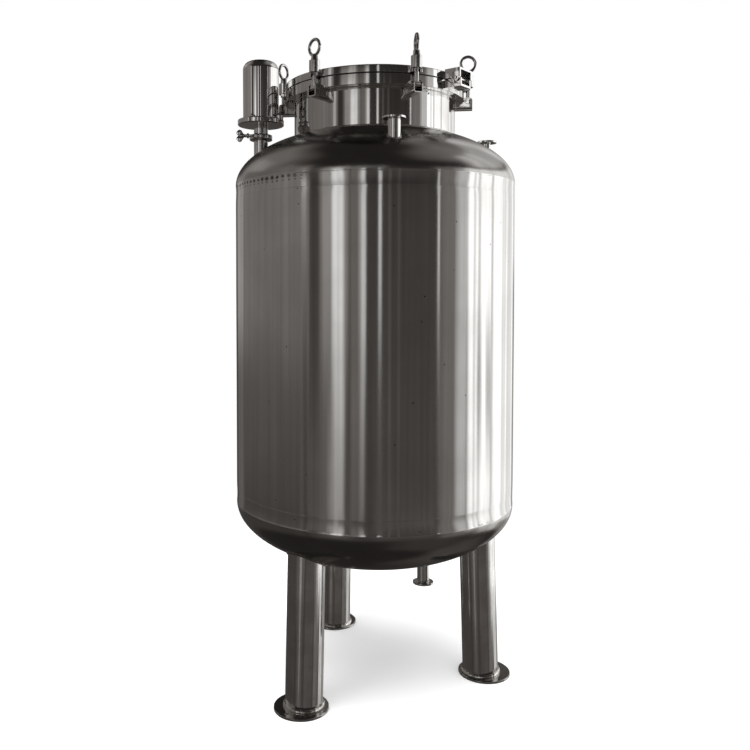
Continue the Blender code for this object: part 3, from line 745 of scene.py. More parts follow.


# The two rows of weld dimples under the top head's tangent line are painted shade.
BARREL_FINISH = SteelFinish(
    "barrel_steel", dull_colour=(0.66, 0.655, 0.645), roughness=0.125, dull_roughness=0.145,
    cloud_scale=5.0, grain=Grain.UPRIGHT, fineness=220.0, grain_depth=0.000006, wave_depth=0.0001,
    wave_scale=(16.0, 16.0, 0.8), stretch=0.98, speck_radius=0.0035,
    shaded_dimple_rows=(ShadedDimpleRow(height=1.7490, radius=0.0105), ShadedDimpleRow(height=1.7375, radius=0.0048)))
HEAD_FINISH = SteelFinish(
    "head_steel", colour=(0.52, 0.51, 0.495), dull_colour=(0.46, 0.45, 0.435), roughness=0.17,
    dull_roughness=0.22, cloud_scale=7.0, grain=Grain.LEVEL, fineness=260.0, grain_depth=0.000008,
    wave_depth=0.0006, wave_scale=(4.0, 4.0, 8.0), speck_radius=0.0016, speck_scale=22.0)
NECK_FINISH = SteelFinish(
    "neck_steel", roughness=0.055, dull_roughness=0.08, grain=Grain.UPRIGHT, fineness=260.0,
    grain_depth=0.000004, wave_depth=0.0003, wave_scale=(9.0, 9.0, 2.0))
FITTING_FINISH = SteelFinish(
    "fitting_steel", colour=(0.76, 0.755, 0.745), dull_colour=(0.70, 0.69, 0.68), roughness=0.085,
    dull_roughness=0.105, cloud_scale=24.0, fineness=420.0, grain_depth=0.000001)
LEG_FINISH = SteelFinish(
    "leg_steel", roughness=0.10, dull_roughness=0.16, cloud_scale=12.0, grain=Grain.UPRIGHT,
    fineness=260.0, grain_depth=0.00001, speck_radius=0.0022, speck_scale=34.0)
MIRROR_FINISH = SteelFinish(
    "mirror_steel", colour=(0.80, 0.795, 0.785), dull_colour=(0.76, 0.755, 0.745), roughness=0.03,
    dull_roughness=0.06, fineness=300.0, grain_depth=0.000003)
WELD_FINISH = SteelFinish(
    "weld_steel", colour=(0.78, 0.77, 0.75), dull_colour=(0.58, 0.55, 0.51), roughness=0.20,
    dull_roughness=0.32, cloud_scale=60.0, fineness=260.0, grain_depth=0.0001)
GASKET_FINISH = RubberFinish("gasket_rubber")


class Stock:
    """The materials, each built once."""

    def __init__(self) -> None:
        """Build the node groups that the finishes share."""
        build_polish_lines()
        build_cloudy_polish()
        build_specks()
        ShadedDimpleRow.build_group()
        self.made: dict[str, bpy.types.Material] = {}

    def paint(self, piece: bpy.types.Object, finish: SteelFinish | RubberFinish) -> bpy.types.Object:
        """Give a piece a finish all over.

        Args:
            piece: The piece.
            finish: The finish.

        Returns:
            The piece.
        """
        piece.data.materials.clear()
        self.add(piece, finish)
        return piece

    def add(self, piece: bpy.types.Object, finish: SteelFinish | RubberFinish) -> None:
        """Give a piece one more finish, for some of its faces.

        Args:
            piece: The piece.
            finish: The finish, which takes its next material slot.
        """
        if finish.name not in self.made:
            self.made[finish.name] = finish.material()
        piece.data.materials.append(self.made[finish.name])


@dataclass
class Assembly:
    """What every sub-assembly has: the bench, the stock of finishes and the body that it rides on."""

    bench: Bench
    stock: Stock

    def hand_over(self, piece: bpy.types.Object, node: str, slot: str, body: str = "tank",
                  angle: float = 30.0, flat: bool = True) -> bpy.types.Object:
        """Finish a piece that stands for a node.

        Args:
            piece: The finished mesh, in place.
            node: The frame's node that it stands for.
            slot: The record's material slot of that node; not used.
            body: The body that it moves with.
            angle: Edges sharper than this stay sharp, in degrees.
            flat: Whether its large faces are shaded flat.

        Returns:
            The piece.
        """
        self.bench.smooth(piece, angle, flat)
        piece.name = "finished_" + node
        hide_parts(node)
        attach(piece, body)
        LOG.info("%s: %d faces", piece.name, len(piece.data.polygons))
        return piece

    def weld_bead(self, name: str, radius: float, wire: float, steps: int, flatten: float = 1.0,
                  ripple: float = 0.10) -> bpy.types.Object:
        """Return a weld bead: a ring whose wire swells and shrinks along its way.

        Args:
            name: The bead's name.
            radius: The radius of its middle line.
            wire: The radius of its wire.
            steps: How many steps the ring has.
            flatten: A factor on its height.
            ripple: How much the wire swells and shrinks, as a share.

        Returns:
            The bead, about Z.
        """
        bead = self.bench.ring(name, radius, wire, steps, 10, flatten)

        def rippled(point: Vector) -> Vector:
            """Swell the wire by a ripple that depends on the place round the ring.

            Args:
                point: A point of the ring.

            Returns:
                Where it goes.
            """
            around = Vector((point.x, point.y, 0.0)).normalized() * radius
            swell = 1.0 + ripple * noise.noise(around * BEAD_RIPPLES + Vector((0.0, 0.0, wire * 900.0)))
            return around + (point - around) * swell

        shift_points(bead, rippled)
        return self.stock.paint(bead, WELD_FINISH)


@dataclass
class Vessel(Assembly):
    """The barrel and its two dished ends."""

    radius: float = SHELL_RADIUS
    wall: float = 0.004
    lower_weld: float = 0.680
    upper_weld: float = 1.712
    lower_tangent: float = 0.630
    upper_tangent: float = 1.760
    top_dish: float = 0.210
    bottom_dish: float = 0.215
    neck_bore: float = 0.285
    seam_edge: float = 0.0003
    weld_pull: float = 0.0004
    weld_pull_reach: float = 0.040
    weld_pull_pitch: tuple[float, float] = (17.0, 14.0)
    roll_pull: float = 0.00004
    roll_pull_pitch: tuple[float, float] = (9.0, 1.5)
    ridge: float = 0.0005
    ridge_half_height: float = 0.0022
    flange_wave: float = 0.0013
    flange_wave_pitch: float = 9.0
    ridge_grit: float = 0.8
    ridge_grit_pitch: float = 90.0
    seam_bead_depth: float = 0.0014
    seam_bead_wire: float = 0.0013
    steps: int = 360
    dish_steps: int = 36

    def dish_share(self, radius: float) -> float:
        """Return how much of a dish's depth it has at a radius."""
        return math.sqrt(max(0.0, 1.0 - (radius / self.radius) ** 2))

    def top_surface(self, radius: float) -> float:
        """Return the height of the top head's outer surface at a radius."""
        return self.upper_tangent + self.top_dish * self.dish_share(radius)

    def bottom_surface(self, radius: float) -> float:
        """Return the height of the bottom head's outer surface at a radius."""
        return self.lower_tangent - self.bottom_dish * self.dish_share(radius)

    def build(self) -> None:
        """Model the barrel and the heads."""
        self.barrel()
        self.top_head()
        self.bottom_head()

    def pulled_in(self, point: Vector) -> Vector:
        """Draw a point of the barrel's wall in where rolling and welding have pulled it.

        Args:
            point: A point of the barrel.

        Returns:
            Where it goes.
        """
        from_weld = min(self.upper_weld - point.z, point.z - self.lower_weld)
        near = max(0.0, 1.0 - from_weld / self.weld_pull_reach)
        place = Vector((point.x, point.y, 0.0))

        def waves(pitch: tuple[float, float]) -> float:
            """Return a wave's height from 0 to 2, with its pitch round the shell and up it."""
            around, upward = pitch
            return 1.0 + noise.noise(place * around + Vector((0, 0, point.z * upward)))

        weld = self.weld_pull * near * near * waves(self.weld_pull_pitch)
        roll = self.roll_pull * waves(self.roll_pull_pitch)
        inward = -place.normalized() * (weld + roll)
        return point + inward

    def barrel(self) -> None:
        """Model the barrel, with the small waves that its welds leave in the wall."""
        low = self.lower_weld + GAP
        high = self.upper_weld - GAP
        inner = self.radius - self.wall
        reach = self.weld_pull_reach
        outer = (spread(low + 0.004, low + reach, 7) + spread(low + reach + 0.03, high - reach - 0.03, 22)
                 + spread(high - reach, high - 0.004, 7))
        outline = rounded([(inner, low), (self.radius, low, self.seam_edge)]
                          + [(self.radius, height) for height in outer]
                          + [(self.radius, high, self.seam_edge), (inner, high)])
        piece = self.bench.turned("barrel", outline, self.steps)
        shift_points(piece, self.pulled_in)
        self.stock.paint(piece, BARREL_FINISH)
        self.hand_over(piece, "shell_barrel", "barrel_steel")

    def dish(self, inset: float, inner_radius: float, tangent: float, sign: float) -> list[Point]:
        """Return a dished end's outline from its tangent line in to a radius.

        Args:
            inset: How far inside the outer surface it runs.
            inner_radius: Where it ends.
            tangent: The height where the dish begins.
            sign: 1 for a head that rises and -1 for one that hangs.

        Returns:
            Points of radius and height.
        """
        shell = self.radius - inset
        rise = (self.top_dish if sign > 0 else self.bottom_dish) - inset
        last = math.acos(inner_radius / shell)
        return [(shell * math.cos(angle), tangent + sign * rise * math.sin(angle))
                for angle in spread(0.0, last, self.dish_steps)]

    def head(self, name: str, tangent: float, weld: float, bore: float, sign: float) -> bpy.types.Object:
        """Return a dished end as a shell with a straight flange.

        Args:
            name: The piece's name.
            tangent: The height where the dish begins.
            weld: The height of the flange's edge.
            bore: The radius of the hole in its middle, or 0.
            sign: 1 for a head that rises and -1 for one that hangs.

        Returns:
            The head.
        """
        drawn = self.radius - self.ridge
        half = self.ridge_half_height
        seam = tangent - sign * half
        flange = [(drawn, height) for height in spread(weld + sign * 0.005, seam - sign * half, 8)]
        ridge = [(self.radius, seam - sign * half * 0.3), (self.radius, seam + sign * half * 0.3)]
        outside = self.dish(0.0, bore, tangent, sign)
        inside = self.dish(self.wall, bore, tangent, sign)
        outline = rounded([(self.radius - self.wall, weld), (drawn, weld, self.seam_edge)] + flange + ridge
                          + outside + inside[::-1])
        piece = self.bench.turned(name, outline, self.steps)

        def waved(point: Vector) -> Vector:
            """Draw the flange's outside in by the waves that forming left, and roughen its ridge.

            Args:
                point: A point of the head.

            Returns:
                Where it goes.
            """
            share = (point.z - weld) / (seam - weld)
            place = Vector((point.x, point.y, 0.0))
            if not 0.0 < share < 1.2 or place.length < drawn - 0.001:
                return point
            middle = max(0.0, math.sin(math.pi * min(share, 1.0)))
            wave = self.flange_wave * middle * (1.0 + noise.noise(place * self.flange_wave_pitch)) / 2
            grit = max(0.0, noise.noise(place * self.ridge_grit_pitch)) if share > 0.9 else 0.0
            rough = self.ridge * self.ridge_grit * grit
            return point - place.normalized() * (wave + rough)

        shift_points(piece, waved)
        return piece

    def paint_flange(self, head: bpy.types.Object, tangent: float, sign: float) -> None:
        """Give a head its own finish and its straight flange the barrel's.

        Args:
            head: The dished end.
            tangent: The height where its dish begins.
            sign: 1 for a head that rises and -1 for one that hangs.
        """
        self.stock.paint(head, HEAD_FINISH)
        self.stock.add(head, BARREL_FINISH)
        for face in head.data.polygons:
            if sign * (tangent - face.center.z) > 0.0005 and face.center.xy.length > self.radius - 0.002:
                face.material_index = 1

    def seam_bead(self, name: str, height: float) -> bpy.types.Object:
        """Model the ground-down weld that fills the seam beside the barrel.

        Args:
            name: The bead's name.
            height: The seam's height.

        Returns:
            The bead.
        """
        middle = self.radius - self.ridge - self.seam_bead_depth
        bead = self.weld_bead(name, middle, self.seam_bead_wire, self.steps, flatten=1.2, ripple=0.03)
        self.stock.paint(bead, BARREL_FINISH)
        return self.bench.place(bead, Matrix.Translation((0.0, 0.0, height)))

    def top_head(self) -> None:
        """Model the top head, with its holes under the nozzles."""
        piece = self.head("top", self.upper_tangent, self.upper_weld, self.neck_bore, 1.0)
        for size in (BREATHER_NOZZLE, FRONT_NOZZLE, RIGHT_NOZZLE):
            self.drill(piece, size)
        self.paint_flange(piece, self.upper_tangent, 1.0)
        piece = self.bench.join(piece, self.seam_bead("upper_seam", self.upper_weld))
        self.hand_over(piece, "top_head", "head_steel")

    def bottom_head(self) -> None:
        """Model the bottom head, with its hole over the outlet."""
        piece = self.head("bottom", self.lower_tangent, self.lower_weld, 0.0, -1.0)
        self.drill(piece, OUTLET)
        self.paint_flange(piece, self.lower_tangent, -1.0)
        piece = self.bench.join(piece, self.seam_bead("lower_seam", self.lower_weld))
        self.hand_over(piece, "bottom_head", "head_steel")

    def drill(self, head: bpy.types.Object, size: "NozzleSize") -> None:
        """Drill a head upright where a nozzle stands.

        Args:
            head: The dished end.
            size: The nozzle's place and sizes.
        """
        middle = self.upper_tangent if size.upward else self.lower_tangent
        drill = self.bench.bar("drill", size.tube - size.wall, middle - DRILL_REACH, middle + DRILL_REACH)
        self.bench.place(drill, fitting_frame(size.azimuth, size.position))
        self.bench.combine(head, drill, "DIFFERENCE")


@dataclass(frozen=True)
class NozzleSize:
    """Where a nozzle stands and how large it is."""

    azimuth: float
    position: float
    tube: float
    flange: float
    face: float
    thickness: float = 0.007
    wall: float = 0.002
    upward: bool = True


FRONT_NOZZLE = NozzleSize(azimuth=8.5, position=0.420, tube=0.0205, flange=0.0365, face=1.931)
RIGHT_NOZZLE = NozzleSize(azimuth=99.0, position=0.420, tube=0.0125, flange=0.0350, face=1.934)
OUTLET = NozzleSize(azimuth=99.0, position=0.188, tube=0.0223, flange=0.0385, face=0.297, upward=False)
BREATHER_NOZZLE = NozzleSize(azimuth=-81.0, position=0.4095, tube=0.0255, flange=0.032, face=1.932 - GAP / 2,
                             thickness=0.005)


@dataclass
class Nozzles(Assembly):
    """The plain ferrule nozzles on the heads."""

    vessel: Vessel = None
    edge: float = 0.0010
    neck_fillet: float = 0.002
    outer_land: tuple[float, float] = (0.006, 0.007)
    inner_land: tuple[float, float] = (0.006, 0.005)
    groove: float = 0.0012
    bead: float = 0.0028
    bead_offset: float = 0.3

    def build(self) -> None:
        """Model the nozzles."""
        self.nozzle("front_nozzle", FRONT_NOZZLE)
        self.nozzle("right_nozzle", RIGHT_NOZZLE)
        self.nozzle("bottom_outlet", OUTLET)
        self.nozzle("breather_nozzle", BREATHER_NOZZLE)

    def nozzle(self, node: str, size: NozzleSize) -> None:
        """Model one nozzle: a tube that lands on the head, its ferrule and its weld.

        Args:
            node: The node that it stands for.
            size: Its place and sizes.
        """
        sign = 1.0 if size.upward else -1.0
        surface = self.vessel.top_surface if size.upward else self.vessel.bottom_surface
        bore = size.tube - size.wall
        face = size.face
        back = face - sign * size.thickness
        root = surface(size.position)
        groove = face - sign * self.groove
        outer = [size.flange - land for land in self.outer_land]
        inner = [bore + land for land in self.inner_land]
        outline = rounded([
            (bore, root), (size.tube, root), (size.tube, back, self.neck_fillet),
            (size.flange, back, self.edge), (size.flange, face, self.edge), (outer[0], face),
            (outer[1], groove), (inner[0], groove), (inner[1], face), (bore, face, self.edge)])
        piece = self.bench.turned(node, outline, ROUND_STEPS)
        self.bench.place(piece, fitting_frame(size.azimuth, size.position))

        def landed(point: Vector) -> Vector:
            """Put the tube's foot on the head.

            Args:
                point: A point of the nozzle.

            Returns:
                Where it goes.
            """
            if abs(point.z - root) < MERGE:
                point.z = surface(math.hypot(point.x, point.y)) + sign * GAP
            return point

        shift_points(piece, landed)
        self.stock.paint(piece, FITTING_FINISH)
        bead = self.weld_bead("bead", size.tube + self.bead * self.bead_offset, self.bead, BEAD_STEPS)
        self.bench.place(bead, fitting_frame(size.azimuth, size.position))

        def draped(point: Vector) -> Vector:
            """Lay the bead along the line where the tube meets the head."""
            point.z += surface(math.hypot(point.x, point.y))
            return point

        shift_points(bead, draped)
        self.hand_over(self.bench.join(piece, bead), node, "fitting_steel")


@dataclass
class Manway(Assembly):
    """The manway's neck, flange and gasket, and its lid."""

    vessel: Vessel = None
    neck: float = 0.289
    wall: float = 0.004
    rim: float = 0.321
    flange_low: float = 2.057
    flange_high: float = 2.092
    foot_bead: float = 0.0028
    flange_bead: float = 0.0022
    gasket_radius: float = 0.317
    gasket_low: float = 2.0923
    gasket_high: float = 2.0945
    gasket_bulge: float = 0.45
    lid_low: float = 2.0948
    lid_high: float = 2.120
    lid_bore: float = 0.262
    lid_dish: float = 0.055
    lid_skirt: float = 0.008
    lid_bead: float = 0.0030
    edge: float = 0.0015
    bolt_circle: float = 0.335
    lug_thickness: float = 0.011
    lug_width: float = 0.038
    lug_reach: float = 0.008
    lug_slot: float = 0.0095
    lug_corner: float = 0.003
    lug_slot_corner: float = 0.001
    lug_bevel: float = 0.0008
    pocket: float = 0.020
    pocket_floor: float = 0.0005

    def build(self) -> None:
        """Model the neck, the flange, the gasket and the lid."""
        self.neck_tube()
        self.rings()
        self.lid_rim()
        self.lid_plate()

    def neck_tube(self) -> None:
        """Model the neck, with its weld to the head and the one under its flange."""
        bore = self.neck - self.wall
        foot = self.vessel.top_surface(self.neck) + GAP
        top = self.flange_low - GAP
        outer = [(self.neck, height) for height in spread(foot + 0.006, top - 0.006, 10)]
        outline = [(bore, foot + 0.004), (self.neck, foot)] + outer + [(self.neck, top), (bore, top)]
        piece = self.stock.paint(self.bench.turned("neck", outline, LARGE_STEPS), NECK_FINISH)
        beads = [self.weld_bead("foot_bead", self.neck, self.foot_bead, LARGE_STEPS, ripple=0.06),
                 self.weld_bead("flange_bead", self.neck, self.flange_bead, LARGE_STEPS, ripple=0.04)]
        self.bench.place(beads[0], Matrix.Translation((0.0, 0.0, foot)))
        self.bench.place(beads[1], Matrix.Translation((0.0, 0.0, top)))
        self.hand_over(self.bench.join(piece, *beads), "manway_neck", "neck_steel")

    def rings(self) -> None:
        """Model the neck's flange and the gasket."""
        bore = self.neck - self.wall
        edge = self.edge
        flange = rounded([(bore, self.flange_low, edge), (self.rim, self.flange_low, edge),
                          (self.rim, self.flange_high, edge), (bore, self.flange_high, edge)], 4)
        piece = self.stock.paint(self.bench.turned("flange", flange, LARGE_STEPS), NECK_FINISH)
        self.hand_over(piece, "neck_flange", "neck_steel")
        bulge = (self.gasket_high - self.gasket_low) * self.gasket_bulge
        section = rounded([(bore, self.gasket_low), (self.gasket_radius, self.gasket_low, bulge),
                           (self.gasket_radius, self.gasket_high, bulge), (bore, self.gasket_high)])
        gasket = self.stock.paint(self.bench.turned("gasket", section, LARGE_STEPS), GASKET_FINISH)
        self.hand_over(gasket, "lid_gasket", "gasket_rubber")

    def lid_rim(self) -> None:
        """Model the lid's rim with its forked lugs and the pockets that clear the nuts."""
        edge = self.edge
        section = rounded([(self.lid_bore, self.lid_low, edge), (self.rim, self.lid_low, edge),
                           (self.rim, self.lid_high, edge * 2), (self.lid_bore, self.lid_high, edge)], 4)
        piece = self.bench.turned("rim", section, LARGE_STEPS)
        floor = self.lid_low + self.lug_thickness + self.pocket_floor
        for azimuth in BOLTS.values():
            pocket = self.bench.bar("pocket", self.pocket, floor, self.lid_high + OVERRUN, steps=64)
            self.bench.place(pocket, fitting_frame(azimuth, self.bolt_circle))
            self.bench.combine(piece, pocket, "DIFFERENCE")
        self.stock.paint(piece, NECK_FINISH)
        half = self.lug_width / 2
        root = self.rim - self.bolt_circle - RIM_OVERLAP
        slot = arc((0.0, 0.0), self.lug_slot, 270.0, 90.0, 12)
        fork = rounded([(root, -half), (self.lug_reach, -half, self.lug_corner),
                        (self.lug_reach, -self.lug_slot, self.lug_slot_corner)])
        outline = fork + slot + [(x, -y) for x, y in reversed(fork)]
        lug = self.bench.plate("lug", outline, self.lid_low, self.lid_low + self.lug_thickness)
        self.bench.bevel(lug, self.lug_bevel)
        self.stock.paint(lug, FITTING_FINISH)
        lugs = [self.bench.copy(lug, "lug", fitting_frame(azimuth, self.bolt_circle))
                for azimuth in BOLTS.values()]
        bpy.data.objects.remove(lug)
        self.hand_over(self.bench.join(piece, *lugs), "lid_rim", "neck_steel")

    def lid_plate(self) -> None:
        """Model the shallow dished plate inside the rim, and its weld."""
        radius = self.lid_bore - GAP
        sphere = (radius ** 2 + self.lid_dish ** 2) / (2 * self.lid_dish)
        top = self.lid_high + self.lid_dish

        def cap(outer_radius: float, drop: float) -> list[Point]:
            """Return the points of a spherical cap from its middle outwards."""
            return [(r, top - drop - sphere + math.sqrt(sphere ** 2 - r ** 2))
                    for r in spread(0.0, outer_radius, 18)]

        skirt = self.lid_low + self.lid_skirt
        outline = (cap(radius, 0.0) + [(radius, skirt), (radius - self.wall, skirt)]
                   + cap(radius - self.wall, self.wall)[::-1])
        piece = self.stock.paint(self.bench.turned("dish", outline, LARGE_STEPS), NECK_FINISH)
        bead = self.weld_bead("dish_bead", radius, self.lid_bead, LARGE_STEPS)
        self.bench.place(bead, Matrix.Translation((0.0, 0.0, self.lid_high)))
        self.hand_over(self.bench.join(piece, bead), "lid_dish", "neck_steel")


BOLTS = {"front_left": -36.0, "front_right": 24.0, "right": 84.0, "back_right": 144.0, "back_left": 204.0,
         "left": 264.0}
EYE_TURNS = {"front_left": 81.0, "front_right": -17.0, "right": 11.0, "back_right": 35.0, "back_left": 110.0,
             "left": 67.0}


@dataclass
class SwingBolts(Assembly):
    """The six swing bolts with their brackets and eye nuts."""

    manway: Manway = None
    pivot: float = 2.056
    pin: float = 0.005
    pin_head: float = 0.010
    pin_head_thickness: float = 0.003
    pin_head_edge: float = 0.0011
    pin_centre_mark: float = 0.0014
    pin_centre_depth: float = 0.0004
    rod: float = 0.008
    rod_top: float = 0.084
    thread_low: float = 0.040
    thread_depth: float = 0.0010
    pitch: float = 0.0020
    barrel: float = 0.011
    barrel_width: float = 0.024
    barrel_edge: float = 0.0012
    bracket_wall: float = 0.004
    bracket_width: float = 0.034
    bracket_reach: float = 0.015
    bracket_end: float = 0.010
    bracket_top: float = 0.013
    bracket_bottom: float = -0.029
    bracket_corner: float = 0.008
    bracket_bevel: float = 0.0006
    pad_bead: float = 0.0032
    flange_gap: float = 0.0015
    nut_bottom: float = 0.0512
    nut_shoulder: float = 0.092
    nut_neck_top: float = 0.110
    nut: float = 0.018
    nut_neck: float = 0.012
    nut_tip: float = 0.0105
    eye: float = 0.0257
    eye_wire: float = 0.0052
    eye_centre: float = 0.1341

    def build(self) -> None:
        """Model one of each piece, and copy it to each bolt."""
        models = {"bolt_bracket_": self.bracket(), "swing_bolt_": self.swing_rod()}
        for place_name, azimuth in BOLTS.items():
            stand = fitting_frame(azimuth, self.manway.bolt_circle, self.pivot)
            for prefix, model in models.items():
                body = "tank" if prefix == "bolt_bracket_" else "bolt_" + place_name
                piece = self.bench.copy(model, prefix, stand)
                self.hand_over(piece, prefix + place_name, "fitting_steel", body)
            nut = self.bench.place(self.eye_nut(EYE_TURNS[place_name]), stand)
            self.hand_over(nut, "eye_nut_" + place_name, "fitting_steel", "bolt_" + place_name)
        for model in models.values():
            bpy.data.objects.remove(model)

    def bracket(self) -> bpy.types.Object:
        """Model a U bracket with its pin and its welds.

        Returns:
            The bracket, in the frame of its pivot.
        """
        half = self.bracket_width / 2
        root = self.manway.neck - self.manway.bolt_circle - OVERRUN
        piece = self.bench.plate("bracket", self.bracket_section(), root, self.bracket_reach)
        self.bench.place(piece, CROSSWISE)
        under = self.bracket_bottom - OVERRUN
        profile = rounded([
            (root - OVERRUN, under), (self.bracket_reach, under),
            (self.bracket_reach, self.bracket_top, self.bracket_end), (root - OVERRUN, self.bracket_top)], 6)
        flank = self.bench.plate("flank", profile, -half - OVERRUN, half + OVERRUN)
        self.bench.place(flank, Matrix.Rotation(math.pi / 2, 4, "X"))
        self.bench.combine(piece, flank, "INTERSECT")
        self.bench.bevel(piece, self.bracket_bevel)
        self.bench.combine(piece, self.neck_envelope(), "DIFFERENCE")
        self.stock.paint(piece, FITTING_FINISH)
        pin = self.bench.cross_bar("pin", self.pin, self.bracket_width)
        head_middle = half + self.pin_head_thickness / 2
        heads = [self.bench.cross_bar("head", self.pin_head, self.pin_head_thickness,
                                      (0.0, side * head_middle, 0.0), self.pin_head_edge)
                 for side in (-1.0, 1.0)]
        marks = [self.bench.cross_bar("mark", self.pin_centre_mark, self.pin_centre_depth * 2,
                                      (0.0, side * (half + self.pin_head_thickness), 0.0))
                 for side in (-1.0, 1.0)]
        for head, mark in zip(heads, marks):
            self.bench.combine(head, mark, "DIFFERENCE")
        for part in (pin, *heads):
            self.stock.paint(part, FITTING_FINISH)
        pad = self.bracket_pad()
        return self.bench.join(piece, pin, *heads, pad)

    def bracket_section(self) -> list[Point]:
        """Draw the outline of a bracket.

        Returns:
            The U, seen along the bracket's length.
        """
        half = self.bracket_width / 2
        inner = half - self.bracket_wall
        floor = self.bracket_bottom + self.bracket_wall
        outer_corner = self.bracket_corner
        inner_corner = self.bracket_corner - self.bracket_wall
        return rounded([
            (-half, self.bracket_top), (-half, self.bracket_bottom, outer_corner),
            (half, self.bracket_bottom, outer_corner), (half, self.bracket_top), (inner, self.bracket_top),
            (inner, floor, inner_corner), (-inner, floor, inner_corner), (-inner, self.bracket_top)], 5)

    def neck_envelope(self) -> bpy.types.Object:
        """Model the room that the neck and its flange take up.

        Returns:
            The room, in the frame of a bracket's pivot.
        """
        manway = self.manway
        under = manway.flange_low - GAP
        envelope = self.bench.turned("envelope", [
            (0.0, manway.lid_low), (manway.rim + GAP, manway.lid_low), (manway.rim + GAP, under),
            (manway.neck + GAP, under), (manway.neck + GAP, NECK_FOOT), (0.0, NECK_FOOT)], LARGE_STEPS)
        return self.bench.place(envelope, fitting_frame(90.0, manway.bolt_circle, self.pivot).inverted())

    def bracket_pad(self) -> bpy.types.Object:
        """Model the weld fillets that run up both flanks of a bracket on the neck.

        Returns:
            Both fillets as one piece.
        """
        beads = []
        low = self.bracket_bottom + self.bracket_corner
        for side in (-1.0, 1.0):
            at = side * self.bracket_width / 2
            toe = math.sqrt((self.manway.neck + GAP) ** 2 - at ** 2) - self.manway.bolt_circle
            bead = self.bench.bar("pad", self.pad_bead, low, -self.flange_gap, self.pad_bead * 0.9, 20)
            shift_points(bead, lambda point: point * (1.0 + 0.04 * noise.noise(point * 300.0)))
            beads.append(self.bench.place(bead, Matrix.Translation((toe + self.pad_bead * 0.4, at, 0.0))))
        return self.stock.paint(self.bench.join(*beads), WELD_FINISH)

    def swing_rod(self) -> bpy.types.Object:
        """Model a threaded rod with its cross barrel.

        Returns:
            The rod, in the frame of its pivot.
        """
        count = round((self.rod_top - self.thread_low) / self.pitch)
        thread = []
        for turn in range(count):
            height = self.thread_low + turn * self.pitch
            thread += [(self.rod, height), (self.rod - self.thread_depth, height + self.pitch / 2)]
        tip = [(self.rod, self.rod_top - 0.001), (self.rod - 0.001, self.rod_top), (0.0, self.rod_top)]
        piece = self.bench.turned("rod", [(0.0, 0.0), (self.rod, 0.0)] + thread + tip, 32)
        barrel = self.bench.cross_bar("barrel", self.barrel, self.barrel_width, edge=self.barrel_edge)
        self.bench.combine(piece, barrel, "UNION")
        bore = self.bench.cross_bar("bore", self.pin + GAP, self.barrel_width * 2)
        self.bench.combine(piece, bore, "DIFFERENCE")
        return self.stock.paint(piece, FITTING_FINISH)

    def eye_nut(self, turn: float) -> bpy.types.Object:
        """Model an eye nut.

        Args:
            turn: How far its ring is turned about the rod, in degrees.

        Returns:
            The nut, in the frame of its bolt's pivot.
        """
        bore = self.rod + GAP
        cavity = self.rod_top + GAP
        outline = rounded([
            (0.0, self.nut_neck_top), (self.nut_tip, self.nut_neck_top, 0.0015),
            (self.nut_neck, self.nut_shoulder), (self.nut, self.nut_shoulder - 0.001, 0.0012),
            (self.nut, self.nut_bottom, 0.0015),
            (bore + 0.001, self.nut_bottom), (bore, self.nut_bottom + 0.001), (bore, cavity), (0.0, cavity)])
        piece = self.stock.paint(self.bench.turned("nut", outline, 48), FITTING_FINISH)
        ring = self.stock.paint(self.bench.ring("eye", self.eye, self.eye_wire), FITTING_FINISH)
        upright = Matrix.Rotation(math.radians(turn), 4, "Z") @ Matrix.Rotation(math.pi / 2, 4, "X")
        self.bench.place(ring, Matrix.Translation((0.0, 0.0, self.eye_centre)) @ upright)
        return self.bench.join(piece, ring)


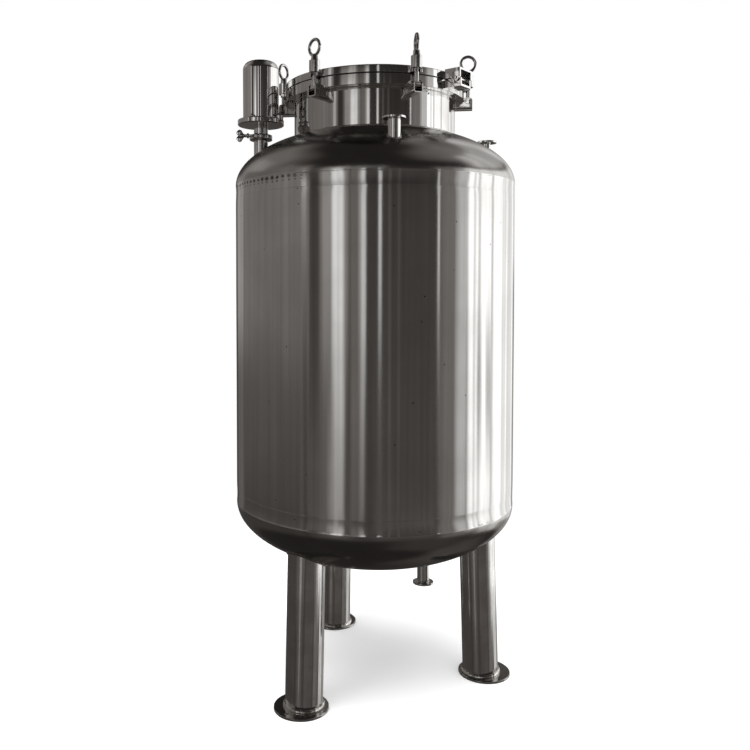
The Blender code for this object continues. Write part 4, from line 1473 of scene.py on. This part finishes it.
@dataclass
class Hinge(Assembly):
    """The lid's hinge: a channel on the flange, one on the lid, and their pin."""

    manway: Manway = None
    azimuth: float = 54.0
    reach: float = 0.376
    width: float = 0.078
    wall: float = 0.0065
    side_gap: float = 0.0004
    bottom: float = 2.065
    top: float = 2.125
    seam: float = 2.0938
    seam_gap: float = 0.002
    rim_gap: float = 0.006
    pin_at: float = 0.360
    pin: float = 0.005
    pin_stands_out: float = 0.003
    pin_edge: float = 0.001
    tab: float = 0.0105
    edge: float = 0.0007

    def build(self) -> None:
        """Model the two channels and the pin."""
        inner_width = self.width - 2 * (self.wall + self.side_gap)
        seated = self.manway.rim + GAP
        running = self.manway.rim + self.rim_gap
        self.channel("hinge_base", inner_width, self.bottom, self.seam - self.seam_gap, True, seated, running)
        self.channel("hinge_arm", self.width, self.seam, self.top, False, running, seated)
        pin_length = self.width + 2 * self.pin_stands_out
        pin = self.bench.cross_bar("pin", self.pin, pin_length, self.pin_centre, self.pin_edge)
        self.stock.paint(self.bench.place(pin, fitting_frame(self.azimuth)), FITTING_FINISH)
        self.hand_over(pin, "hinge_pin", "fitting_steel")

    @property
    def pin_centre(self) -> tuple[float, float, float]:
        """Where the pin's middle is in the fitting frame."""
        return (self.pin_at, 0.0, self.seam - self.seam_gap / 2)

    def channel(self, node: str, width: float, low: float, high: float, open_top: bool, lower_radius: float,
                upper_radius: float) -> None:
        """Model one channel of the hinge.

        Args:
            node: The node that it stands for.
            width: Its width along the pin.
            low: The height of its lower side.
            high: The height of its upper side.
            open_top: Whether it is open at the top, or else at the bottom.
            lower_radius: Where it ends over the neck's flange.
            upper_radius: Where it ends over the lid's rim.
        """
        root = self.manway.rim - 2 * RIM_OVERLAP
        half = width / 2
        inner = half - self.wall
        piece = self.bench.block(node, (root, -half, low), (self.reach, half, high))
        self.bench.combine(piece, self.bench.cross_bar("tab", self.tab, width, self.pin_centre), "UNION")
        ceiling = self.top + OVERRUN
        cellar = self.bottom - OVERRUN
        start, end = (low + self.wall, ceiling) if open_top else (cellar, high - self.wall)
        hollow = self.bench.block("hollow", (root - OVERRUN, -inner, start),
                                  (self.reach + OVERRUN, inner, end))
        self.bench.combine(piece, hollow, "DIFFERENCE")
        bore = self.bench.cross_bar("bore", self.pin + GAP, width * 2, self.pin_centre)
        self.bench.combine(piece, bore, "DIFFERENCE")
        split = self.manway.gasket_low if open_top else self.manway.lid_low - GAP
        envelope = self.bench.turned("envelope", [
            (0.0, ceiling), (upper_radius, ceiling), (upper_radius, split), (lower_radius, split),
            (lower_radius, cellar), (0.0, cellar)], LARGE_STEPS)
        self.bench.place(envelope, fitting_frame(90.0).inverted())
        self.bench.combine(piece, envelope, "DIFFERENCE")
        self.bench.bevel(piece, self.edge)
        self.bench.place(piece, fitting_frame(self.azimuth))
        self.hand_over(self.stock.paint(piece, FITTING_FINISH), node, "fitting_steel")


@dataclass
class Breather(Assembly):
    """The breather above its nozzle: clamp, stem, base disc and domed cover."""

    azimuth: float = BREATHER_NOZZLE.azimuth
    position: float = BREATHER_NOZZLE.position
    pipe: float = BREATHER_NOZZLE.tube
    ferrule: float = BREATHER_NOZZLE.flange
    ferrule_thickness: float = BREATHER_NOZZLE.thickness
    joint: float = 1.932
    disc_low: float = 1.975
    disc_thickness: float = 0.020
    disc: float = 0.0825
    disc_edge: float = 0.004
    cover: float = 0.0635
    cover_top: float = 2.205
    corner: float = 0.030
    crown: float = 0.004
    shoulder_start: float = 78.0
    foot_edge: float = 0.0007
    wall: float = 0.002
    screws: tuple[float, ...] = (-17.0, 180.0)
    screw: float = 0.0065
    screw_height: float = 0.010
    screw_dome: float = 0.0048
    screw_sink: float = 0.002
    knob_azimuth: float = 66.0
    knob_circle: float = 0.0775
    knob: float = 0.013
    knob_span: tuple[float, float] = (1.986, 2.013)
    knob_edges: tuple[float, float] = (0.004, 0.009)
    knob_dimple: tuple[float, float] = (0.003, 0.004)
    knob_dimple_depth: float = 0.002
    clamp_lip: float = 0.0042
    clamp_depth: float = 0.0090
    clamp_edge: float = 0.0045
    clamp_bolt: float = 0.005
    clamp_bolt_span: tuple[float, float] = (-0.070, 0.002)
    clamp_bolt_stands_off: float = 0.008
    ears: tuple[tuple[float, float], ...] = ((-0.016, -0.003), (0.001, 0.012))
    ear_depth: float = 0.009
    ear_half_height: float = 0.008
    knuckle_reach: float = 0.006
    ear_edge: float = 0.0022
    knuckle_edge: float = 0.003
    hub: float = 0.009
    hub_span: tuple[float, float] = (-0.066, -0.036)
    hub_waist: float = 0.0055
    wing_root: float = -0.060
    wing: tuple[float, float, float] = (0.026, 0.006, 0.024)
    wing_corner: float = 0.009
    wing_bevel: float = 0.0014
    wing_taper: float = 0.30
    wing_lean: float = 48.0

    @property
    def stand(self) -> Matrix:
        """The breather's place, with its Y along the tank's +Y."""
        return Matrix.Translation(outward(self.azimuth) * self.position)

    def build(self) -> None:
        """Model the breather's pieces."""
        self.stem()
        self.base()
        self.cover_shell()
        self.clamp()

    def finish(self, piece: bpy.types.Object, node: str, finish: SteelFinish = FITTING_FINISH,
               slot: str = "fitting_steel", flat: bool = True) -> None:
        """Paint a piece, stand it on the breather's axis and hand it over."""
        self.bench.place(self.stock.paint(piece, finish), self.stand)
        self.hand_over(piece, node, slot, flat=flat)

    def stem(self) -> None:
        """Model the tube between the clamp and the disc."""
        bore = self.pipe - self.wall
        low = self.joint + GAP / 2
        top = self.disc_low - GAP
        outline = rounded([(bore, low), (self.ferrule, low, 0.0008),
                           (self.ferrule, low + self.ferrule_thickness, 0.001),
                           (self.pipe, low + self.ferrule_thickness, 0.0015), (self.pipe, top), (bore, top)])
        self.finish(self.bench.turned("stem", outline, ROUND_STEPS), "breather_stem")

    def base(self) -> None:
        """Model the disc with its round-headed screws and its knob."""
        top = self.disc_low + self.disc_thickness
        bore = self.pipe - self.wall
        outline = rounded([(bore, self.disc_low), (self.disc, self.disc_low, self.disc_edge),
                           (self.disc, top, self.disc_edge), (bore, top)], 5)
        piece = self.bench.turned("disc", outline, ROUND_STEPS)
        circle = (self.disc + self.cover) / 2
        screws = []
        for azimuth in self.screws:
            screw = self.bench.bar("screw", self.screw, top - self.screw_sink, top + self.screw_height,
                                   self.screw_dome, 32)
            screws.append(self.bench.place(screw, Matrix.Translation(outward(azimuth) * circle)))
        low, high = self.knob_span
        lower_edge, upper_edge = self.knob_edges
        dimple_floor, dimple_rim = self.knob_dimple
        dimple = high - self.knob_dimple_depth
        knob = self.bench.turned("knob", rounded([
            (0.0, low), (self.knob, low, lower_edge), (self.knob, high, upper_edge), (dimple_rim, high),
            (dimple_floor, dimple), (0.0, dimple)], 8), 48)
        knob_place = Matrix.Translation(outward(self.knob_azimuth) * self.knob_circle)
        self.bench.place(knob, knob_place)
        self.finish(self.bench.join(piece, *screws, knob), "breather_base")

    def cover_shell(self) -> None:
        """Model the polished cover, a thin cup with a round shoulder and a slight crown."""
        corner = self.corner
        crown = self.cover_top
        centre = (self.cover - corner, crown - corner - self.crown)
        rest = self.disc_low + self.disc_thickness + GAP
        outer = [(0.0, crown)] + arc(centre, corner, self.shoulder_start, 0.0, 14)
        inner = [(0.0, crown - self.wall)] + arc(centre, corner - self.wall, self.shoulder_start, 0.0, 14)
        lining = self.cover - self.wall
        foot = rounded([(self.cover, rest + 0.010), (self.cover, rest, self.foot_edge),
                        (lining, rest, self.foot_edge), (lining, rest + 0.010)])
        outline = self.crowned(outer) + foot + self.crowned(inner)[::-1]
        self.finish(self.bench.turned("cover", outline, ROUND_STEPS), "breather_cover", MIRROR_FINISH,
                    "mirror_steel")

    @staticmethod
    def crowned(outline: list[Point], steps: int = 8) -> list[Point]:
        """Turn an outline's first edge, over the crown, into a shallow arch.

        Args:
            outline: An outline that starts on the axis.
            steps: How many edges the arch has.

        Returns:
            The outline with the arch in it.
        """
        (_, top), (edge, low) = outline[:2]
        arch = [(edge * step / steps, top - (top - low) * (step / steps) ** 2) for step in range(steps)]
        return arch + outline[1:]

    def wing_blade(self, lean: float, bolt_y: float) -> bpy.types.Object:
        """Model one wing of the wing nut.

        Args:
            lean: How far it leans from upright, in degrees.
            bolt_y: Where the clamp's bolt is.

        Returns:
            The wing, in place.
        """
        length, thickness, height = self.wing
        wing = self.bench.plate("wing", rounded([
            (-length * self.wing_taper, 0.0), (-length / 2, height, self.wing_corner),
            (length / 2, height, self.wing_corner), (length * self.wing_taper, 0.0)], 8),
            -thickness / 2, thickness / 2)
        self.bench.bevel(wing, self.wing_bevel)
        upright = Matrix.Rotation(math.pi / 2, 4, "X")
        tilt = Matrix.Rotation(math.radians(lean - 90.0), 4, "Y")
        return self.bench.place(wing, Matrix.Translation((self.wing_root, bolt_y, 0.0)) @ tilt @ upright)

    def clamp(self) -> None:
        """Model the clamp ring with its ears, bolt, wing nut and knuckle."""
        lip = self.pipe + self.clamp_lip
        seat = self.ferrule + GAP
        outside = self.ferrule + self.clamp_depth
        half = self.ferrule_thickness + 2 * GAP
        edge = half + self.clamp_lip
        outline = rounded([(outside, edge, self.clamp_edge), (outside, -edge, self.clamp_edge),
                           (lip, -edge, 0.001), (lip, -half), (seat, -half), (seat, half), (lip, half),
                           (lip, edge, 0.001)], 5)
        piece = self.bench.turned("ring", outline, ROUND_STEPS)
        bolt_y = -(outside + self.clamp_bolt_stands_off)
        tall = self.ear_half_height
        blocks = [self.bench.block("ear", (low, bolt_y - self.ear_depth, -tall),
                                   (high, self.clamp_bolt - outside, tall), self.ear_edge, 3)
                  for low, high in self.ears]
        blocks.append(self.bench.block("knuckle", (-tall, outside - self.clamp_bolt, -tall),
                                       (tall, outside + self.knuckle_reach, tall), self.knuckle_edge, 3))
        blocks += [self.wing_blade(lean, bolt_y) for lean in (self.wing_lean, -self.wing_lean)]
        start, end = self.hub_span
        rods = [self.bench.bar("rod", self.clamp_bolt, *self.clamp_bolt_span, 0.001, 32),
                self.bench.turned("hub", rounded([
                    (0.0, start), (self.hub, start, 0.002), (self.hub * 0.95, start + 0.010, 0.003),
                    (self.hub_waist, start + 0.014, 0.003), (self.hub_waist, end - 0.008, 0.002),
                    (self.hub, end - 0.006, 0.001), (self.hub, end, 0.001), (0.0, end)]), 32)]
        lie = Matrix.Translation((0.0, bolt_y, 0.0)) @ Matrix.Rotation(math.pi / 2, 4, "Y")
        blocks += [self.bench.place(rod, lie) for rod in rods]
        self.bench.place(self.bench.join(piece, *blocks), Matrix.Translation((0.0, 0.0, self.joint)))
        self.finish(piece, "breather_clamp", flat=False)


LEGS = {"front_left": -36.0, "right": 84.0, "back_left": 204.0}


@dataclass
class Legs(Assembly):
    """The three splayed legs on their foot plates."""

    vessel: Vessel = None
    radius: float = 0.0635
    wall: float = 0.004
    circle: float = 0.392
    splay: float = 1.75
    foot_circle: float = 0.405
    foot: float = 0.092
    foot_thickness: float = 0.008
    anchor: float = 0.0075
    anchor_offset: float = 0.072
    foot_edge: float = 0.0012
    foot_bead: float = 0.0055
    top_bead: float = 0.0045
    rough_length: float = 0.50
    slide_steps: int = 12
    slide_share: float = 0.8

    def build(self) -> None:
        """Model the legs and their plates."""
        for place_name, azimuth in LEGS.items():
            self.leg(place_name, azimuth)
            self.plate(place_name, azimuth)

    def leg(self, place_name: str, azimuth: float) -> None:
        """Model one leg, landed on its plate and on the bottom head, with both welds.

        Args:
            place_name: Which leg it is.
            azimuth: Where it stands, in degrees.
        """
        stand = fitting_frame(azimuth, self.circle, 0.0, self.splay)
        axis = stand.to_3x3() @ Vector((0.0, 0.0, 1.0))
        floor = self.foot_thickness + GAP
        rough = self.rough_length
        inner = self.radius - self.wall
        outer = [(self.radius, height) for height in spread(0.0, rough, 8)]
        outline = [(inner, 0.0)] + outer + [(inner, rough)]
        piece = self.bench.turned("leg", outline, ROUND_STEPS)
        self.bench.place(piece, stand)

        def to_head(point: Vector) -> Vector:
            """Slide a point along the leg until it is on the bottom head.

            Args:
                point: A point at the leg's top.

            Returns:
                Where it goes.
            """
            for _ in range(self.slide_steps):
                gap = self.vessel.bottom_surface(math.hypot(point.x, point.y)) - GAP - point.z
                point = point + axis * gap * self.slide_share
            return point

        def landed(point: Vector) -> Vector:
            """Cut the leg's ends to its plate and to the head.

            Args:
                point: A point of the leg.

            Returns:
                Where it goes.
            """
            along = (point - stand.translation).dot(axis)
            if along > rough - MERGE:
                return to_head(point)
            if along < MERGE:
                return point + axis * ((floor - point.z) / axis.z)
            return point

        shift_points(piece, landed)
        self.stock.paint(piece, LEG_FINISH)
        top = self.weld_bead("top_bead", self.radius + 0.001, self.top_bead, BEAD_STEPS)
        self.bench.place(top, stand)

        def draped(point: Vector) -> Vector:
            """Lay the bead along the line where the leg meets the head."""
            above = (point - stand.translation).dot(axis)
            return to_head(point - axis * above) + axis * above

        shift_points(top, draped)
        foot = self.weld_bead("foot_bead", self.radius + 0.0008, self.foot_bead, BEAD_STEPS, 1.6, 0.22)
        self.bench.place(foot, Matrix.Translation((0.0, 0.0, floor + 0.001)) @ stand)
        shift_points(foot, lambda point: Vector((point.x, point.y, max(point.z, floor))))
        self.hand_over(self.bench.join(piece, top, foot), "leg_" + place_name, "leg_steel")

    def plate(self, place_name: str, azimuth: float) -> None:
        """Model one foot plate with its anchor hole.

        Args:
            place_name: Which leg it is under.
            azimuth: Where it lies, in degrees.
        """
        piece = self.bench.bar("plate", self.foot, 0.0, self.foot_thickness, self.foot_edge, ROUND_STEPS)
        hole = self.bench.bar("hole", self.anchor, -OVERRUN, self.foot_thickness + OVERRUN)
        self.bench.place(hole, Matrix.Translation((self.anchor_offset, 0.0, 0.0)))
        self.bench.combine(piece, hole, "DIFFERENCE")
        self.bench.place(piece, fitting_frame(azimuth, self.foot_circle))
        self.hand_over(self.stock.paint(piece, LEG_FINISH), "foot_plate_" + place_name, "leg_steel")


class Effect(Enum):
    """What a panel of the surroundings does to the light there."""

    GLOW = "glow"
    SHADE = "shade"


@dataclass(frozen=True)
class Panel:
    """An upright panel of the surroundings that the steel reflects, by its bearing in degrees.

    A glowing panel has its brightness as its level, and a shading one the share that it takes away.
    """

    azimuth: float
    half_width: float
    edge: float
    level: float
    low: float = -20.0
    high: float = 30.0
    fade: float = 6.0
    effect: Effect = Effect.GLOW


# The panels are laid on in this order, the shading ones after the glowing ones.
PANELS = (
    Panel(-93.0, 40.0, 3.0, 0.190, low=-2.0, high=24.0, fade=8.0),
    Panel(-93.0, 40.0, 3.0, 0.090, low=-12.0, high=24.0, fade=5.0),
    Panel(-120.0, 8.0, 75.0, 0.24, low=22.0, high=48.0, fade=22.0),
    Panel(-118.0, 10.0, 16.0, 0.38, low=22.0, high=34.0, fade=8.0),
    Panel(-74.0, 2.0, 4.0, 0.21, low=-3.0),
    Panel(-143.0, 7.0, 8.0, 0.33, low=0.0, fade=10.0),
    Panel(-143.0, 7.0, 8.0, 0.12, low=-16.0),
    Panel(-57.0, 1.4, 1.8, 0.60, low=9.0, high=17.0, fade=6.0),
    Panel(-31.0, 7.0, 9.0, 0.33, low=-3.0, high=13.0, fade=5.0),
    Panel(-42.0, 16.0, 6.0, 0.12, low=-18.0, high=-12.0, fade=5.0),
    Panel(-30.0, 5.0, 4.0, 0.36, low=-17.0, high=-12.0, fade=4.0),
    Panel(-28.0, 3.0, 4.5, 0.95, low=-3.0, high=12.0, fade=5.0),
    Panel(-27.0, 3.0, 3.5, 0.50, low=-12.0, high=14.0, fade=5.0),
    Panel(-30.0, 1.0, 2.5, 0.34, low=-23.0, high=-18.0, fade=3.0),
    Panel(-30.0, 13.0, 4.0, 0.10, low=-26.0, high=-18.0, fade=5.0),
    Panel(25.0, 22.0, 10.0, 0.095, low=-25.0, high=-18.0, fade=5.0),
    Panel(72.0, 12.0, 10.0, 0.17, low=-28.0, high=-18.0, fade=5.0),
    Panel(-100.0, 30.0, 10.0, 0.035, low=-30.0, high=-18.0, fade=5.0),
    Panel(-14.0, 3.0, 3.0, 0.15, low=-18.0, high=14.0, fade=3.0),
    Panel(-8.0, 1.4, 1.1, 0.78, low=-4.0, high=14.0, fade=3.0),
    Panel(-9.5, 2.0, 1.5, 0.34, low=-3.0, high=14.0, fade=3.0),
    Panel(-9.0, 1.2, 1.5, 0.28, low=-14.0, high=14.0, fade=4.0),
    Panel(4.8, 0.9, 0.6, 0.85, low=-1.0, high=15.0, fade=3.0),
    Panel(12.0, 0.8, 1.5, 0.095, low=-16.0, high=13.0, fade=3.0),
    Panel(19.5, 0.8, 1.5, 0.085, low=-16.0, high=13.0, fade=3.0),
    Panel(51.5, 0.6, 0.6, 0.80, low=-1.0, high=14.0, fade=3.0),
    Panel(100.0, 42.0, 14.0, 0.18, low=-18.0, high=14.0, fade=5.0),
    Panel(100.0, 27.0, 12.0, 0.62, low=-18.0, high=14.0, fade=5.0),
    Panel(116.0, 35.0, 5.0, 1.55, low=-18.0, high=15.0, fade=5.0),
    Panel(112.0, 12.0, 8.0, 0.80, low=-27.0, high=15.0, fade=5.0),
    Panel(145.0, 12.0, 8.0, 0.45, low=-27.0, high=15.0, fade=5.0),
    Panel(125.0, 30.0, 16.0, 0.85, low=25.0, high=44.0, fade=8.0),
    Panel(125.0, 20.0, 95.0, 0.26, low=46.0, high=60.0, fade=20.0),
    Panel(60.0, 20.0, 60.0, 0.055, low=-60.0, high=-30.0, fade=20.0),
    Panel(130.0, 12.0, 60.0, 0.085, low=-60.0, high=-44.0, fade=16.0),
    Panel(167.0, 11.0, 6.0, 0.75, low=3.0, high=24.0, fade=5.0),
    Panel(-174.0, 8.0, 6.0, 0.35, low=3.0, high=24.0, fade=4.0),
    Panel(-56.0, 1.5, 1.0, 0.40, low=-40.0, high=-3.0, fade=3.0, effect=Effect.SHADE),
    Panel(78.5, 0.9, 1.2, 0.45, low=-40.0, high=-3.0, fade=3.0, effect=Effect.SHADE),
    Panel(86.0, 0.7, 1.0, 0.40, low=-40.0, high=60.0, effect=Effect.SHADE),
    Panel(91.5, 0.9, 1.2, 0.45, low=-40.0, high=60.0, effect=Effect.SHADE),
    Panel(92.0, 1.6, 2.5, 0.70, low=-9.0, high=-5.0, fade=3.0, effect=Effect.SHADE),
    Panel(103.0, 2.4, 2.0, 0.70, low=-9.0, high=-5.0, fade=3.0, effect=Effect.SHADE),
    Panel(108.0, 1.0, 1.2, 0.50, low=-40.0, high=60.0, effect=Effect.SHADE),
    Panel(128.0, 3.0, 3.0, 0.30, low=-40.0, high=60.0, effect=Effect.SHADE),
    Panel(142.0, 6.0, 3.0, 0.40, low=-40.0, high=60.0, effect=Effect.SHADE),
    Panel(-170.0, 20.0, 14.0, 0.85, low=15.0, high=80.0, effect=Effect.SHADE),
)


@dataclass(frozen=True)
class Lamp:
    """A soft square lamp: its place, the length of its side and its power in watts."""

    place: tuple[float, float, float]
    size: float
    power: float


@dataclass
class Studio:
    """The camera, the surroundings that the steel reflects, the floor and its lamps."""

    camera_place: tuple[float, float, float] = (0.0, -2.957, 1.4055)
    camera_pitch: float = 87.89
    camera_turn: float = 3.37
    lens: float = 38.73
    shift: tuple[float, float] = (0.065, -0.080)
    dark_level: float = 0.062
    floor_level: float = 0.024
    ceiling_level: float = 0.022
    backdrop: Colour = (1.0, 1.0, 1.0)
    floor_rise: tuple[float, float] = (-29.0, -38.0)
    ceiling_rise: tuple[float, float] = (0.0, 22.0)
    clutter_scale: tuple[float, float] = (0.45, 0.04)
    clutter: tuple[float, float] = (0.55, 1.45)
    tint_gain: float = 1.6
    dark_tint: Colour = (1.10, 0.99, 0.92)
    bright_tint: Colour = (1.0, 0.995, 0.985)
    floor_radius: float = 2.4
    floor_clear: float = 1.0
    floor_edge: float = 0.95
    floor_colours: tuple[Colour, Colour] = ((0.90, 0.90, 0.90), (0.94, 0.94, 0.94))
    floor_grit: float = 40.0
    floor_roughness: float = 0.9
    floor_glow: float = 0.25
    soft_light: float = 0.62
    panels: tuple[Panel, ...] = PANELS
    lamp_target: tuple[float, float, float] = (0.0, 0.0, 0.5)
    lamps: tuple[Lamp, ...] = (Lamp((0.0, -0.6, 5.0), 7.0, 420.0), Lamp((-3.5, -3.0, 3.0), 2.5, 60.0))

    def build(self) -> None:
        """Set up the studio."""
        self.camera()
        self.surroundings()
        self.floor()
        self.hang_lamps()
        bpy.context.scene.view_settings.view_transform = "Standard"

    def camera(self) -> None:
        """Stand the camera where the photograph was taken from."""
        bpy.ops.object.camera_add(location=self.camera_place, rotation=(
            math.radians(self.camera_pitch), 0.0, math.radians(self.camera_turn)))
        camera = bpy.context.object
        camera.data.lens = self.lens
        camera.data.sensor_width = 36.0
        camera.data.shift_x, camera.data.shift_y = self.shift
        bpy.context.scene.camera = camera

    def surroundings(self) -> None:
        """Build the workshop that the steel reflects, which the camera doesn't see."""
        self.panel_group()
        world = bpy.data.worlds.new("workshop")
        bpy.context.scene.world = world
        world.use_nodes = True
        wiring = Wiring(world.node_tree)
        wiring.tree.nodes.clear()
        ray = wiring.node("ShaderNodeTexCoord").outputs["Generated"]
        parts = wiring.node("ShaderNodeSeparateXYZ", {"Vector": ray})
        bearing = wiring.sum("ARCTAN2", parts.outputs["X"], wiring.sum("MULTIPLY", parts.outputs["Y"], -1.0))
        azimuth = wiring.sum("DEGREES", bearing)
        elevation = wiring.sum("DEGREES", wiring.sum("ARCSINE", parts.outputs["Z"]))
        below = wiring.step(elevation, *self.floor_rise)
        above = wiring.step(elevation, *self.ceiling_rise)
        level = wiring.lerp(below, self.dark_level, self.floor_level)
        level = wiring.sum("ADD", level, wiring.lerp(above, 0.0, self.ceiling_level - self.dark_level))
        for effect in Effect:
            for panel in self.panels:
                if panel.effect is effect:
                    level = self.lay_on(wiring, panel, azimuth, elevation, level)
        around, upward = self.clutter_scale
        clutter = wiring.node("ShaderNodeCombineXYZ", {0: wiring.sum("MULTIPLY", azimuth, around),
                                                       1: wiring.sum("MULTIPLY", elevation, upward)})
        busy = wiring.lerp(wiring.clouds(clutter.outputs["Vector"], 1.0, 3.0), *self.clutter)
        level = wiring.sum("MULTIPLY", level, busy)
        tone = wiring.sum("MULTIPLY", level, self.tint_gain, clamp=True)
        tint = wiring.mix(tone, self.dark_tint, self.bright_tint)
        colour = wiring.node("ShaderNodeVectorMath", {0: tint}, operation="SCALE")
        wiring.feed(colour.inputs["Scale"], level)
        rays = wiring.node("ShaderNodeLightPath").outputs
        soft = (self.soft_light,) * 3
        shown = wiring.mix(rays["Is Diffuse Ray"], colour.outputs["Vector"], soft)
        shown = wiring.mix(rays["Is Camera Ray"], shown, self.backdrop)
        back = wiring.node("ShaderNodeBackground", {"Color": shown, "Strength": 1.0})
        wiring.node("ShaderNodeOutputWorld", {"Surface": back.outputs["Background"]})

    @staticmethod
    def lay_on(wiring: Wiring, panel: Panel, azimuth: bpy.types.NodeSocket, elevation: bpy.types.NodeSocket,
               level: bpy.types.NodeSocket) -> bpy.types.NodeSocket:
        """Lay one more panel on the surroundings.

        Args:
            wiring: The world's shader tree.
            panel: The panel.
            azimuth: The bearing of a ray, in degrees.
            elevation: Its angle above the horizon, in degrees.
            level: The light's level there so far.

        Returns:
            The light's level with the panel in it.
        """
        cover = wiring.group("panel", {
            "Azimuth": azimuth, "Elevation": elevation, "Centre": panel.azimuth, "Inner": panel.half_width,
            "Outer": panel.half_width + panel.edge, "Low": panel.low, "Low Fade": panel.low - panel.fade,
            "High": panel.high, "High Fade": panel.high + panel.fade}).outputs["Cover"]
        if panel.effect is Effect.GLOW:
            return wiring.sum("MAXIMUM", level, wiring.sum("MULTIPLY", cover, panel.level))
        return wiring.sum("MULTIPLY", level, wiring.lerp(cover, 1.0, 1.0 - panel.level))

    @staticmethod
    def panel_group() -> None:
        """Build the node group that tells where one panel is."""
        names = ("Azimuth", "Elevation", "Centre", "Inner", "Outer", "Low", "Low Fade", "High", "High Fade")
        wiring, given = new_group("panel", {name: "Float" for name in names}, {"Cover": "Float"})
        get = given.outputs
        turn = wiring.sum("WRAP", wiring.sum("SUBTRACT", get["Azimuth"], get["Centre"]), 180.0, -180.0)
        across = wiring.step(wiring.sum("ABSOLUTE", turn), get["Outer"], get["Inner"])
        up = wiring.step(get["Elevation"], get["Low Fade"], get["Low"])
        down = wiring.step(get["Elevation"], get["High Fade"], get["High"])
        cover = wiring.sum("MULTIPLY", across, wiring.sum("MULTIPLY", up, down))
        wiring.node("NodeGroupOutput", {"Cover": cover})

    def floor(self) -> None:
        """Lay a pale floor that fades out before its edge and that the steel doesn't mirror."""
        bpy.ops.mesh.primitive_circle_add(vertices=96, radius=self.floor_radius, fill_type="NGON")
        floor = bpy.context.object
        floor.name = "floor"
        floor.visible_glossy = False
        made = bpy.data.materials.new("floor")
        made.use_nodes = True
        floor.data.materials.append(made)
        wiring = Wiring(made.node_tree)
        shader = made.node_tree.nodes["Principled BSDF"]
        shader.inputs["Roughness"].default_value = self.floor_roughness
        shader.inputs["Specular IOR Level"].default_value = 0.0
        shader.inputs["Emission Color"].default_value = (1.0, 1.0, 1.0, 1.0)
        shader.inputs["Emission Strength"].default_value = self.floor_glow
        place = wiring.node("ShaderNodeTexCoord").outputs["Object"]
        grit = wiring.clouds(place, self.floor_grit, 4.0)
        wiring.feed(shader.inputs["Base Color"], wiring.mix(grit, *self.floor_colours))
        far = wiring.node("ShaderNodeVectorMath", {0: place}, operation="LENGTH").outputs["Value"]
        edge = self.floor_radius * self.floor_edge
        wiring.feed(shader.inputs["Alpha"], wiring.step(far, edge, self.floor_clear))

    def hang_lamps(self) -> None:
        """Hang soft lamps that light the floor and that the steel doesn't mirror."""
        for lamp in self.lamps:
            bpy.ops.object.light_add(type="AREA", location=lamp.place)
            made = bpy.context.object
            made.data.size = lamp.size
            made.data.energy = lamp.power
            made.visible_glossy = False
            aim = Vector(self.lamp_target) - made.location
            made.rotation_euler = aim.to_track_quat("-Z", "Y").to_euler()


def main() -> None:
    """Build the studio and the tank."""
    logging.basicConfig(level=logging.INFO, format="%(message)s")
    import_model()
    Bench.clear()
    Studio().build()
    bench = Bench()
    stock = Stock()
    vessel = Vessel(bench, stock)
    vessel.build()
    manway = Manway(bench, stock, vessel)
    for assembly in (Nozzles(bench, stock, vessel), manway, SwingBolts(bench, stock, manway),
                     Hinge(bench, stock, manway), Breather(bench, stock), Legs(bench, stock, vessel)):
        assembly.build()


if __name__ == "__main__":
    main()
